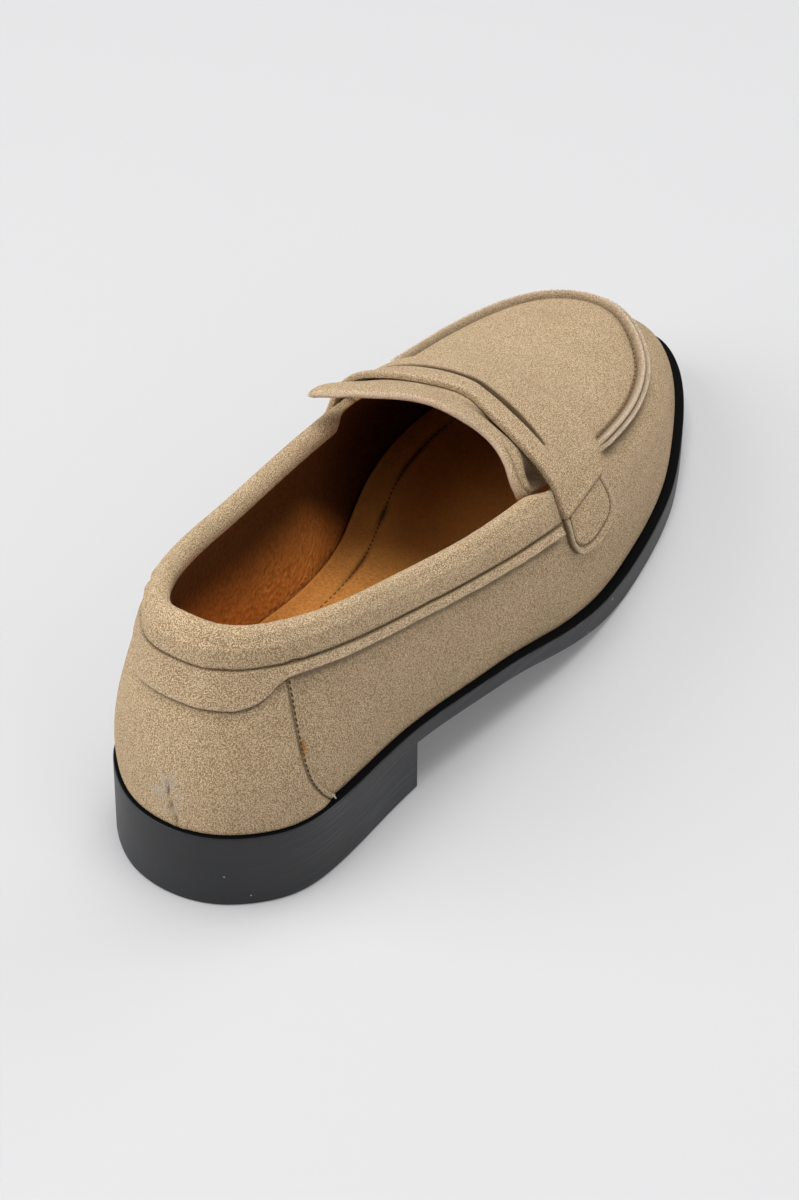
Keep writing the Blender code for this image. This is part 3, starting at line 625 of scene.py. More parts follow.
def make_rubber(name):
    """Satin trimmed side of the sole."""
    finish = Finish(name, roughness=0.4, specular_ior_level=0.5)
    run = finish.painted("run")
    height = finish.painted("height")
    sockets = {0: run * STREAK_ALONG, 1: height * STREAK_UP, 2: 0.0}
    lane = finish.node("ShaderNodeCombineXYZ", None, sockets)
    streak = finish.noise(1.0, 3.0, 0.65, lane)
    fine = finish.noise(GRAIN_PER_METRE, 2.0, 0.6)
    cloud = finish.noise(CLOUDS_PER_METRE, 3.0, 0.6)
    # Paler streaks with painted sheen, faint at the back of the heel and full from 60 mm on
    ahead = finish.spread(run, *SHEEN_AHEAD)
    pale_and_highlight = finish.spread(streak * 0.7 + cloud * 0.3, 0.42, 0.72) * (0.08 + 0.92 * ahead)
    main = finish.mix(pale_and_highlight, RUBBER_BLACK, RUBBER_STREAK_SHEEN)
    speck = finish.spread(finish.noise(SPECKS_PER_METRE, 0.0, 0.0), 0.845, 0.865)
    main = finish.mix(speck * 0.6, main, RUBBER_SPECK)
    finish.feed("Base Color", main)
    finish.feed("Roughness", 0.33 + 0.16 * cloud + 0.10 * streak + 0.05 * fine)
    finish.bump(streak * 0.7 + fine * 0.3, 0.05)
    return finish.material


def make_shelf(name):
    """Dull top of the sole."""
    finish = Finish(name, roughness=0.9, specular_ior_level=0.08)
    dust = finish.spread(finish.noise(DUST_PER_METRE, 1.0, 0.5), 0.74, 0.80)
    near_heel = finish.near(DUST_SPOT, DUST_RADIUS)
    finish.feed("Base Color", finish.mix(dust * near_heel, SHELF_BLACK, SHELF_DUST))
    return finish.material


rubber = make_rubber("satin_rubber")
shelf_rubber = make_shelf("dull_shelf_rubber")
print("finishes:", rubber.name, shelf_rubber.name)

# %% [markdown]
# ### Thread
# Sewing thread is twisted, so its tone changes along every stitch. Twisted strands could be
# modelled, at hundreds of faces a stitch. Fine noise in colour and bump is enough at this size,
# and one function makes the thread of every seam.

# %% Thread
THREAD_TONES = {
    "pale_thread": (0.72, 0.62, 0.49),
    "sand_thread": (0.36, 0.25, 0.14),
    "brown_thread": (0.16, 0.06, 0.018),
    "dark_thread": (0.120, 0.075, 0.038),
    "orange_thread": (0.60, 0.27, 0.05),
    "white_thread": (0.82, 0.76, 0.66),
}
TWISTS_PER_METRE = 2600.0


def make_thread(name, tone):
    """Twisted sewing thread."""
    finish = Finish(name, roughness=0.8, specular_ior_level=0.2)
    twist = finish.noise(TWISTS_PER_METRE, 1.0, 0.5)
    dark = colour(*(0.55 * c for c in tone))
    finish.feed("Base Color", finish.mix(finish.spread(twist, 0.3, 0.7), dark, colour(*tone)))
    finish.bump(twist, 0.08)
    return finish.material


threads = {name: make_thread(name, tone) for name, tone in THREAD_TONES.items()}
print("threads:", ", ".join(threads))

# %% [markdown]
# ## Pieces as rows of points
# A shoemaker cuts flat pieces, and each has its own outline and its own edges. Modelling them
# face by face in the viewport would be slow to correct. A small class gathers rows of points
# instead, joins neighbouring rows with quads, stores painted values such as the darkness of a
# groove, and makes the object. It then rides on the shoe's one body and stands for its CAD node.


# %% Mesh helper
class Skin:
    """Points, faces and painted values of one closed piece."""

    def __init__(self):
        self.points = []
        self.faces = []
        self.kinds = []
        self.paint = {}
        self.count = 0

    def row(self, points, **paint):
        """Add points with their painted values and return their numbers."""
        points = np.asarray(points, float).reshape(-1, 3)
        numbers = np.arange(self.count, self.count + len(points))
        self.points.append(points)
        for name, values in paint.items():
            values = np.broadcast_to(np.asarray(values, float).ravel(), len(points))
            self.paint.setdefault(name, []).append((self.count, values))
        self.count += len(points)
        return numbers

    def face(self, corners, kind=0):
        """Add one face, leaving out repeated corners."""
        kept = [int(c) for i, c in enumerate(corners) if c != corners[i - 1]]
        if len(kept) > 2:
            self.faces.append(kept)
            self.kinds.append(kind)

    def strip(self, low, high, closed=False, kind=0):
        """Quads between two rows of equal length."""
        for i in range(len(low) if closed else len(low) - 1):
            j = (i + 1) % len(low)
            self.face([low[i], low[j], high[j], high[i]], kind)

    def build(self, name, finishes, slot, *nodes, sharp=50.0):
        """Make the object, turn its faces out and let it ride on the shoe."""
        mesh = bpy.data.meshes.new(name)
        mesh.from_pydata(place(np.concatenate(self.points)).tolist(), [], self.faces)
        for finish in finishes:
            mesh.materials.append(finish)
        mesh.polygons.foreach_set("material_index", np.array(self.kinds, np.int32))
        for key, parts in self.paint.items():
            values = np.zeros(self.count, np.float32)
            for first, part in parts:
                values[first:first + len(part)] = part
            mesh.attributes.new(key, "FLOAT", "POINT").data.foreach_set("value", values)
        turn_out(mesh)
        mesh.shade_smooth()
        mesh.set_sharp_from_angle(angle=math.radians(sharp))
        ride_as(bpy.data.objects.new(name, mesh), slot, *nodes)


def turn_out(mesh):
    """Turn all faces out."""
    work = bmesh.new()
    work.from_mesh(mesh)
    bmesh.ops.recalc_face_normals(work, faces=work.faces)
    work.to_mesh(mesh)
    work.free()


def ride_as(piece, slot, *nodes):
    """Link a finished piece, let it ride on the shoe and stand for its CAD nodes."""
    bpy.context.scene.collection.objects.link(piece)
    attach(piece, "root")
    if nodes:
        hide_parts(*nodes)
    print(f"{piece.name}: {len(piece.data.vertices)} points, {len(piece.data.polygons)} faces")


print("pieces ride on the body root")

# %% [markdown]
# ### Sheets
# Strap, trim, counter, tongue and insole are cut sheets with two faces and an edge all round.
# Solidify could thicken one face, but the two faces of these sheets differ, and the strap has a
# slit. So a sheet is made from two grids of points, with the cells of a slit left out, and every
# open edge is closed. Distances on the grid then give the rounded edges and the stitch grooves.


# %% Sheet helper
def sheet(outer, inner, keep=None, **paint):
    """Closed sheet between two grids of points, with its open edges closed."""
    skin = Skin()
    rows, cols = outer.shape[:2]
    values = [{key: grid[i] for key, grid in paint.items()} for i in range(rows)]
    a = [skin.row(outer[i], **values[i]) for i in range(rows)]
    b = [skin.row(inner[i], **values[i]) for i in range(rows)]
    keep = np.ones((rows - 1, cols - 1), bool) if keep is None else keep
    for i, j in np.argwhere(keep):
        skin.face([a[i][j], a[i][j + 1], a[i + 1][j + 1], a[i + 1][j]])
        skin.face([b[i][j], b[i + 1][j], b[i + 1][j + 1], b[i][j + 1]])
        sides = (
            (i - 1, j, (i, j), (i, j + 1)),
            (i + 1, j, (i + 1, j + 1), (i + 1, j)),
            (i, j - 1, (i + 1, j), (i, j)),
            (i, j + 1, (i, j + 1), (i + 1, j + 1)),
        )
        for r, c, p, q in sides:
            inside = 0 <= r < rows - 1 and 0 <= c < cols - 1 and keep[r, c]
            if not inside:
                skin.face([a[p[0]][p[1]], b[p[0]][p[1]], b[q[0]][q[1]], a[q[0]][q[1]]])
    return skin


print("a sheet has two faces and closed edges")


# %% Measuring on a piece
def run_length(points, axis):
    """Distance along a grid's rows or columns, from its first line."""
    step = np.linalg.norm(np.diff(points, axis=axis), axis=-1)
    start = np.zeros_like(np.take(step, [0], axis=axis))
    return np.concatenate([start, np.cumsum(step, axis=axis)], axis=axis)


def round_off(distance, radius):
    """Height share of a rounded edge at a distance from it."""
    t = 1 - np.clip(distance / radius, 0, 1)
    return np.sqrt(np.maximum(1 - t * t, 0))


def hump(x, width):
    """Soft bell of height 1 and a half width."""
    return np.exp(-((np.asarray(x, float) / width) ** 2))


def line_distance(points, line):
    """Distance of points to a line of points, in millimetres."""
    points = np.asarray(points, float)
    best = np.full(points.shape[:-1], 1e9)
    for a, b in zip(line[:-1], line[1:]):
        along = b - a
        t = np.clip(((points - a) @ along) / max(along @ along, 1e-9), 0, 1)
        best = np.minimum(best, np.linalg.norm(points - a - t[..., None] * along, axis=-1))
    return best


def dense(table, count):
    """A given line of (place, profile) pairs, smoothed to many points."""
    table = np.asarray(table, float)
    t = np.linspace(0, len(table) - 1, count)
    i = np.clip(np.floor(t).astype(int), 0, len(table) - 2)
    slope = np.gradient(table, axis=0)
    return hermite_number(table[i], slope[i], table[i + 1], slope[i + 1], (t - i)[:, None])


print("a rounded edge reaches", round(float(round_off(0.5, 1.0)), 2), "of its height halfway in")

# %% [markdown]
# ## Upper
# The upper is one wall of suede over padding: round the heel it ends in a rolled collar, and in
# front it closes over the toes. A cloth simulation could drape it, but it wouldn't put the folds
# where the photograph has them. So the wall is the smooth form with a lift added to it. The lift
# is a sum of padding, seam, puckers and creases, and each of them is a short function.

# %% Padded collar
COLLAR_ROLL = 5.6
COLLAR_RISE = 2.4
COLLAR_DEPTH = 11.0
COLLAR_PAD = 0.9
FOLD_DEPTH = 1.8
FOLD_STEP = 0.7
ROLL_END = (7.85, 8.42)
TRIM_EDGES = Table("station top low", (
    (0.0, 7.6, 18.6), (1.4, 7.6, 18.6), (1.8, 7.6, 17.4), (2.1, 7.6, 15.0), (2.35, 7.7, 12.4),
    (2.6, 7.8, 11.2), (4.0, 8.0, 11.0), (6.0, 8.4, 11.4), (7.5, 9.2, 12.2), (8.4, 10.2, 13.2),
))
SEAM_U = np.linspace(0, LOOP, 60 * LOOP + 1)
SEAM_RUN = run_length(shoulder(SEAM_U), 0)


def trim_edge(u, name):
    """Depth of the collar trim's top or low edge below the collar edge."""
    return TRIM_EDGES.at(name, station(u))


def collar_line(u):
    """Depth of the collar's stitching below the collar edge."""
    return trim_edge(u, "top") - GAP


def seam_run(u):
    """Millimetres along the shoulder line."""
    return np.interp(np.mod(u, LOOP), SEAM_U, SEAM_RUN)


def from_seam(u, profile):
    """Millimetres from the shoulder line, below 0 on the wall and above 0 on the top."""
    return (profile - 1) * np.where(profile > 1, top_length(u), wall_length(u))


def roll_share(u):
    """Share of the collar padding, fading out under the strap."""
    return 1 - smooth(station(u), *ROLL_END)


def collar_swell(u, profile):
    """Soft swelling of the collar above its stitching."""
    t = np.clip(-from_seam(u, profile) / collar_line(u), 0, 1)
    full = smooth(t, 0, 0.25) * (1 - smooth(t, 0.95, 1.0))
    swell = COLLAR_PAD * (0.6 * full + 0.4 * np.sqrt(np.sin(np.pi * t) + 1e-9)) * roll_share(u)
    return np.where(profile <= 1, swell, 0)


print("the collar edge and the apron seam run", round(float(SEAM_RUN[-1])), "mm round the shoe")

# %% [markdown]
# ### Standing seam
# Round the apron two cut edges stand up side by side, sewn through, with a slot between them,
# and the wall below is drawn into small puckers. A strip could be laid on as a piece of its own,
# but the seam is made of the upper's own suede, and so it is raised out of the wall.

# %% Standing seam
RIDGE_HEIGHT = 2.0
RIDGE_TOP = 1.25
RIDGE_HALF = 1.9
RIDGE_SLOT = 0.8
RIDGE_START = (9.68, 10.00)
FOOT_GROOVE = 0.45
TROUGH_DEPTH = 0.75
PUCKER_PITCH = 4.3
PUCKER_DEPTH = 0.16
PUCKER_REACH = 4.5


def seam_share(u):
    """Where the apron seam stands up."""
    return smooth(station(u), *RIDGE_START)


def ridge(u, profile):
    """Standing seam of two cut edges, with a groove at its foot."""
    d = from_seam(u, profile)
    body = RIDGE_HEIGHT * (1 - smooth(abs(d), RIDGE_TOP, RIDGE_HALF))
    slot = RIDGE_SLOT * (1 - smooth(abs(d), 0.05, 0.40))
    foot = FOOT_GROOVE * hump(abs(d) - RIDGE_HALF - 0.25, 0.45)
    return (body - slot - foot) * seam_share(u)


def puckers(u, profile):
    """Small gathers beside the seam and the trough below it."""
    d = from_seam(u, profile)
    run = seam_run(u)
    wave = np.sin(2 * np.pi * run / PUCKER_PITCH + 1.1 * np.sin(2 * np.pi * run / 19.0))
    side = np.where(d < 0, 1.0, 0.45)
    gather = PUCKER_DEPTH * side * wave * np.exp(-abs(d) / PUCKER_REACH) * smooth(abs(d), 1.7, 2.6)
    reach = 1 - 0.6 * smooth(station(u), 10.5, 13.5)
    trough = TROUGH_DEPTH * hump(d + 5.0, 2.8) * reach * (d < 0)
    return (gather - trough) * seam_share(u)


print("the seam stands", RIDGE_HEIGHT, "mm high, with a pucker every", PUCKER_PITCH, "mm")

# %% [markdown]
# ### Creases
# Suede folds where the shoe bends and where it is pulled in by a seam. Noise would scatter such
# folds anywhere, so the main creases are listed: each row gives the two ends as place
# and height, then a width and a depth in millimetres. A crease is a hollow with a low swelling
# on both sides, because the suede that gives way has to go somewhere.

# %% Creases
CREASES = (
    (2.66, 1.00, 2.70, 0.87, 1.6, 0.45),
    (1.30, 0.99, 1.22, 0.88, 2.2, 0.25),
    (-2.60, 1.00, -2.70, 0.87, 1.8, 0.40),
    (5.60, 0.98, 5.45, 0.88, 2.6, 0.22),
    (9.70, 0.46, 10.60, 0.60, 4.5, 0.40),
    (10.20, 0.25, 11.10, 0.44, 5.0, 0.32),
    (-9.70, 0.46, -10.70, 0.60, 4.5, 0.40),
    (10.75, 1.55, -10.70, 1.50, 6.0, 0.35),
    (11.50, 1.60, -11.40, 1.45, 7.0, 0.25),
    (6.30, 0.30, 7.40, 0.62, 6.0, 0.30),
)
CREASE_STEPS = 9


def crease_line(start_u, start_profile, end_u, end_profile, count):
    """Points of a crease; one across the vamp goes up to the middle line and down again."""
    if start_u * end_u < 0 and abs(start_u) > 5:
        u = np.repeat((start_u, end_u), 5)
        profile = np.concatenate([np.linspace(start_profile, 2, 5), np.linspace(2, end_profile, 5)])
        return surface(u, profile)
    return surface(np.linspace(start_u, end_u, count), np.linspace(start_profile, end_profile, count))


def creases(points):
    """Sum of the creases placed by hand."""
    total = np.zeros(points.shape[:-1])
    for *ends, width, depth in CREASES:
        d = line_distance(points, crease_line(*ends, CREASE_STEPS))
        total -= depth * (hump(d, width) - 0.35 * hump(d - 1.9 * width, 0.9 * width))
    return total


print(len(CREASES), "creases placed by hand")


# %% Lift and thickness of the wall
def outer_lift(u, profile):
    """Everything that raises or lowers the suede on the form."""
    soft = 0.10 * np.sin(seam_run(u) / 11.0) + 0.07 * np.sin(seam_run(u) / 4.7 + 1.0)
    collar = collar_swell(u, profile)
    bumps = collar * (1 + soft) + ridge(u, profile) + puckers(u, profile)
    free = 1 - smooth(station(u), 7.9, 8.2) * (1 - smooth(station(u), 9.7, 10.1))
    return bumps + creases(surface(u, profile)) * free


def plain_wall(u, profile):
    """Wall thickness, with the collar's padding inside its top."""
    down = np.maximum(-from_seam(u, profile), 0)
    share = (1 - smooth(down, 3.0, COLLAR_DEPTH)) * roll_share(u)
    return WALL + np.where(profile <= 1, (COLLAR_ROLL - WALL - FOLD_STEP) * share, 0)


def thickness(u, profile):
    """Wall thickness with the suede that is turned in over the collar edge."""
    down = np.maximum(-from_seam(u, profile), 0)
    turned = FOLD_STEP * (1 - smooth(down, FOLD_DEPTH, FOLD_DEPTH + 0.4)) * roll_share(u)
    return plain_wall(u, profile) + np.where(profile <= 1, turned, 0)


print("the wall is", WALL, "mm thick and", COLLAR_ROLL, "mm at the collar edge")

# %% [markdown]
# ### Rows of the upper
# The wall's points lie in rows round the shoe. Even rows fine enough for the seam would need ten
# times the faces, so they are close together only where the collar rolls over, under the trim
# and at the seam. The same rows serve the outer and the inner face.

# %% Rows of the upper
THROAT_STATION = 26 / 3
COLUMNS = 15
SEAM_STEPS = (2.8, 2.5, 2.25, 2.0, 1.8, 1.6, 1.4, 1.2, 1.0, 0.75, 0.5, 0.35, 0.2, 0.1)
WALL_ROWS = 27
UNDER_TRIM = (4.4, 3.6, 3.0, 2.5, 2.1, 1.7, 1.3, 0.8, 0.0)
COLLAR_SHARES = (0.97, 0.92, 0.86, 0.80, 0.74, 0.68, 0.64, 0.60, 0.54, 0.48)
TOP_START = 3.3
TOP_ROWS = 26
ALL_STATIONS = np.arange(0, COLUMNS * STATIONS + 1) / COLUMNS
AROUND = np.concatenate([ALL_STATIONS, LOOP - ALL_STATIONS[-2:0:-1]])
THROAT = int(round(THROAT_STATION * COLUMNS))
TIP = len(ALL_STATIONS) - 1


def outer_wall_rows(u):
    """Profiles of the wall's rows, closer together at the collar and the seam."""
    size = wall_length(u)
    depth = collar_line(u)
    low = trim_edge(u, "low")
    first = 1 - (low + UNDER_TRIM[0]) / size
    rows = [first * s for s in np.linspace(0, 1, WALL_ROWS)]
    rows += [1 - (low + d) / size for d in UNDER_TRIM[1:]]
    rows += [1 - (low + (depth - low) * s) / size for s in (0.33, 0.67, 1.0)]
    rows += [1 - depth * s / size for s in COLLAR_SHARES]
    rows += [1 - d / size for d in SEAM_STEPS]
    return rows + [np.ones(np.shape(u))]


def outer_top_rows(u):
    """Profiles of the rows over the top."""
    size = top_length(u)
    rows = [1 + d / size for d in SEAM_STEPS[::-1]]
    first = 1 + TOP_START / size
    return rows + [first + (2 - first) * s for s in np.linspace(0, 1, TOP_ROWS)[:-1]]


print("the upper has", len(AROUND), "columns, and its throat starts at station", round(THROAT_STATION, 2))


# %% Grooves, painted shade and cut edges of the upper
def groove_and_shade_paint(u, profile):
    """Stitch grooves and painted shade under the trim, beside the seam and at the shelf; pale cut edges."""
    d = from_seam(u, profile)
    # The collar's stitch groove, darkened as painted shade, more so away from the back
    line = (0.35 + 0.35 * smooth(station(u), 1.6, 2.8)) * hump(-d - collar_line(u), 0.26)
    line = line * roll_share(u)
    # Painted shadow below the trim's low edge
    under = -d - trim_edge(u, "low")
    shade = 0.60 * (1 - smooth(under, 1.2, 3.0)) * (under > -0.1)
    shade = shade * (1 - smooth(station(u), 7.9, 8.2))
    # Painted shade in the groove inside the seam's foot, wider at the toe, and outside its near end
    foot = 0.95 * hump(d - RIDGE_HALF - 0.30, 0.55) * seam_share(u)
    foot = foot + 0.20 * hump(d - RIDGE_HALF - 1.2, 1.3) * smooth(station(u), 12.2, 13.6)
    near_end = (u < LOOP / 2) * (1 - smooth(station(u), 10.8, 13.2))
    foot = foot + 0.60 * hump(d + RIDGE_HALF + 0.8, 1.1) * seam_share(u) * near_end
    # Painted shade in the slot of the seam, and where the wall meets the shelf
    slot = 0.75 * hump(d, 0.22) * seam_share(u)
    shelf = 0.6 * hump(profile * wall_length(u), 0.6)
    pale = 0.55 * (1 - smooth(abs(d), 1.2, 1.75)) * seam_share(u)
    return {"groove": np.clip(line + shade + foot + slot + shelf, 0, 1), "cut": pale}


# The groove values also hold painted shade, and the cut values painted highlights and light
print("painted values of the upper: groove and cut")


# %% Layers of the upper
def layer(skin, wall_rows, top_rows, amount, paint):
    """One face of the upper: rows round the wall, then over the forefoot on both sides."""
    def line(u, profile):
        profile = np.broadcast_to(np.asarray(profile, float), np.shape(u))
        points = offset(u, profile, amount(u, profile))
        points[:, 2] = np.maximum(points[:, 2], foot_point(u)[:, 2])
        return skin.row(points, **paint(u, profile))

    rows = [line(AROUND, profile) for profile in wall_rows(AROUND)]
    ahead = np.arange(THROAT, TIP + 1)
    fronts = []
    for columns in (ahead, -ahead % len(AROUND)):
        u = AROUND[columns]
        fronts.append([rows[-1][columns]] + [line(u, profile) for profile in top_rows(u)])
    middle = line(AROUND[ahead], 2.0)
    middle[-1] = middle[-2]
    for front in fronts:
        front.append(middle)
    for ours, theirs in zip(*fronts):
        theirs[-1] = ours[-1]
    for low, high in zip(rows, rows[1:]):
        skin.strip(low, high, True)
    for front in fronts:
        for low, high in zip(front, front[1:]):
            skin.strip(low, high)
    return rows, fronts


def close_layers(skin, outer, inner, rolls):
    """Close the foot of the wall, the collar and the throat between two layers."""
    skin.strip(inner[0][0], outer[0][0], True)
    for low, high in zip(rolls, rolls[1:]):
        skin.strip(low, high)
    for side, end in ((0, -1), (1, 0)):
        outside, inside = outer[1][side], inner[1][side]
        skin.face([row[end] for row in rolls] + [inside[1][0], outside[1][0]])
        for i in range(1, len(outside) - 1):
            skin.face([outside[i][0], inside[i][0], inside[i + 1][0], outside[i + 1][0]])


print("rows are joined round the wall and over the forefoot")

# %% Build the upper
REAR = np.arange(-THROAT, THROAT + 1) % len(AROUND)


def make_upper():
    """Closed suede solid with its rolled collar."""
    skin = Skin()
    outer = layer(skin, outer_wall_rows, outer_top_rows, outer_lift, groove_and_shade_paint)
    inner = layer(
        skin, outer_wall_rows, outer_top_rows, lambda u, p: -thickness(u, p), lambda u, p: {})
    points = np.concatenate(skin.points)
    a = points[outer[0][-1][REAR]]
    b = points[inner[0][-1][REAR]]
    u = AROUND[REAR]
    up = unit(surface(u, np.ones(len(u))) - surface(u, np.full(len(u), 0.9)))
    soft = 1 + 0.05 * np.sin(seam_run(u) / 9.0)
    rise = COLLAR_RISE * roll_share(u) * soft
    rolls = [outer[0][-1][REAR]]
    for degrees in range(15, 180, 15):
        angle = math.radians(degrees)
        across = (a + b) / 2 + (a - b) / 2 * math.cos(angle)
        rolls.append(skin.row(across + up * (rise * math.sin(angle))[:, None]))
    rolls.append(inner[0][-1][REAR])
    close_layers(skin, outer, inner, rolls)
    skin.build("suede_upper", [suede], "suede", "upper")


make_upper()

# %% [markdown]
# ## Lining
# Inside, leather covers the wall from the insole up to the turned-in edge of the suede, and
# lines the vamp. It could be a second colour on the upper's inner face, but then it would have no
# edge and no folds of its own. It is a thin sheet just clear of the wall, and a few soft waves
# show where it is not glued down.

# %% Folds and shade of the lining
LINING = 0.35
LINING_GAP = 0.04
LINING_TOP = 1.6
LINING_CREASES = (
    (1.55, 0.55, 2.10, 0.16, 3.2, 0.55),
    (2.40, 0.62, 2.85, 0.20, 3.0, 0.45),
    (-1.60, 0.60, -2.05, 0.18, 3.4, 0.55),
    (-2.75, 0.58, -3.10, 0.12, 3.2, 0.55),
    (-3.90, 0.60, -4.00, 0.15, 4.0, 0.40),
    (-5.60, 0.62, -5.30, 0.16, 4.5, 0.40),
)
LINING_CREASE_STEPS = 7
LINING_ROWS = 34
LINING_TOP_ROWS = 18
LINING_SHADE = 0.84
LINING_SHADE_DEPTH = (2.0, 34.0)
FAR_SHADE = 0.95
FAR_SHADE_DEPTH = (18.0, 46.0)
FAR_SHADE_REACH = 34.0


def lining_limit(u):
    """Profile of the lining's top edge behind the throat."""
    tucked = LINING_TOP * (1 - smooth(station(u), 8.1, 8.6))
    return 1 - tucked / wall_length(u)


def lining_wall_rows(u):
    """Profiles of the lining's rows up the wall."""
    return [0.01 + (lining_limit(u) - 0.01) * s for s in np.linspace(0, 1, LINING_ROWS)]


def lining_top_rows(u):
    """Profiles of the lining's rows under the vamp."""
    return [np.full(np.shape(u), 1 + s) for s in np.linspace(0, 1, LINING_TOP_ROWS)[1:-1]]


def lining_wave(u, profile):
    """Soft folds of the lining, towards the foot."""
    points = surface(u, profile)
    total = np.zeros(points.shape[:-1])
    for *ends, width, depth in LINING_CREASES:
        line = crease_line(*ends, LINING_CREASE_STEPS)
        total += depth * hump(line_distance(points, line), width)
    return total * smooth(profile, 0.02, 0.2)


def lining_paint(u, profile):
    """Painted shade: the lining is darker near its top edge, and further down on the shaded inner side."""
    depth = np.maximum(-from_seam(u, profile), 0)
    inner = np.where(np.mod(u, LOOP) > LOOP / 2, smooth(station(u), 0.3, 3.0), 0)
    near = LINING_SHADE * (1 - smooth(depth, *LINING_SHADE_DEPTH))
    reach = FAR_SHADE_REACH * smooth(station(u), 6.8, 8.4)
    start, end = FAR_SHADE_DEPTH
    far = FAR_SHADE * (1 - smooth(depth, start + reach, end + reach))
    return {"groove": near + (far - near) * inner}


print("the lining has", len(LINING_CREASES), "soft folds")


# %% Lining
def lining_back(u, profile):
    """Back of the lining, just clear of the wall."""
    return -plain_wall(u, profile) - LINING_GAP


def lining_front(u, profile):
    """Front of the lining with its folds."""
    return lining_back(u, profile) - LINING - lining_wave(u, profile)


def make_lining_piece():
    """Thin closed sheet inside the upper."""
    skin = Skin()
    back = layer(skin, lining_wall_rows, lining_top_rows, lining_back, lambda u, p: {})
    front = layer(skin, lining_wall_rows, lining_top_rows, lining_front, lining_paint)
    close_layers(skin, back, front, [back[0][-1][REAR], front[0][-1][REAR]])
    skin.build("leather_lining", [lining_leather], "tan_leather")


make_lining_piece()

# %% [markdown]
# ## Counter
# The counter is a second layer of suede round the heel, with a row of stitches just behind its
# front edge and a short pleat low at the back. It could be drawn on the upper as a line, but its
# edge stands off the wall and catches the light. So it is a sheet over the form, thin at its
# edges, with the pleat and the stitch groove pressed into it.

# %% Counter
COUNTER = 1.1
COUNTER_EDGE = Table("height station", (
    (0.00, 3.66), (0.10, 3.41), (0.25, 3.10), (0.45, 2.88), (0.65, 2.74), (0.90, 2.62),
))
COUNTER_STITCH = 0.115
STATION_LENGTH = 18.0
LIMIT_PASSES = 6
BACK_PLEAT = ((0.10, 0.26), (0.16, 0.18), (0.23, 0.10), (0.31, 0.01))


def depth_profile(u, depth):
    """Profile at a depth below the collar edge."""
    return 1 - depth / wall_length(u)


def counter_station(profile):
    """Station of the counter's front edge."""
    return COUNTER_EDGE.at("station", profile)


def make_counter():
    """Suede layer round the heel."""
    across = np.concatenate([
        -1 + 0.06 * np.linspace(0, 1, 12) ** 1.5, np.linspace(-0.935, 0.935, 110),
        1 - 0.06 * np.linspace(1, 0, 12) ** 1.5])
    limit = np.full(len(across), 0.7)
    for _ in range(LIMIT_PASSES):
        top = across * counter_station(limit)
        limit = depth_profile(top, trim_edge(top, "low") + 2 * GAP)
    shares = np.concatenate([np.linspace(0.006, 0.96, 44), (0.975, 0.985, 0.993, 1.0)])
    profile = shares[:, None] * limit
    u = across * counter_station(profile)
    base = offset(u, profile, np.full(u.shape, GAP))
    side = run_length(base, 1)
    side = np.minimum(side, side[:, -1:] - side)
    high = run_length(base, 0)
    edge = np.minimum(side, high[-1:] - high)
    stitch = hump(side - COUNTER_STITCH * STATION_LENGTH, 0.36)
    pleat_line = dense(BACK_PLEAT, 12)
    pleat = line_distance(base, offset(pleat_line[:, 0], pleat_line[:, 1], np.full(12, GAP)))
    body = 0.20 * round_off(edge, 0.5) + 0.80 * smooth(edge, 0, 6.0)
    lift = GAP + 0.08 + (COUNTER - 0.08) * body
    lift += 0.20 * hump(pleat - 0.9, 0.8) - 0.45 * hump(pleat, 0.40) - 0.22 * stitch + creases(base)
    # Stitch groove and pleat darkened, with painted shade at the foot, under the tab along the top edge and
    # along the front edge
    groove = 0.75 * stitch + 0.55 * hump(pleat, 0.30) + 0.5 * hump(high, 0.5)
    groove = groove + 0.55 * hump(high[-1:] - high, 0.5) + 0.35 * hump(side, 0.18)
    outer = offset(u, profile, lift)
    skin = sheet(outer, base, groove=np.clip(groove, 0, 1))
    skin.build("suede_counter", [suede], "suede", "counter")


make_counter()

# %% [markdown]
# ## Collar trim and heel tab
# A narrow strip runs under the collar and widens into a tab at the heel. A curve with a bevel
# would make an even strip, but this one changes its width, so its top and low edges are two
# columns of a table. It is a sheet with rounded edges, and a slow wave keeps it from looking
# machined.

# %% Collar trim and heel tab
TRIM = 1.3
TRIM_ENDS = (-8.0, 8.2)


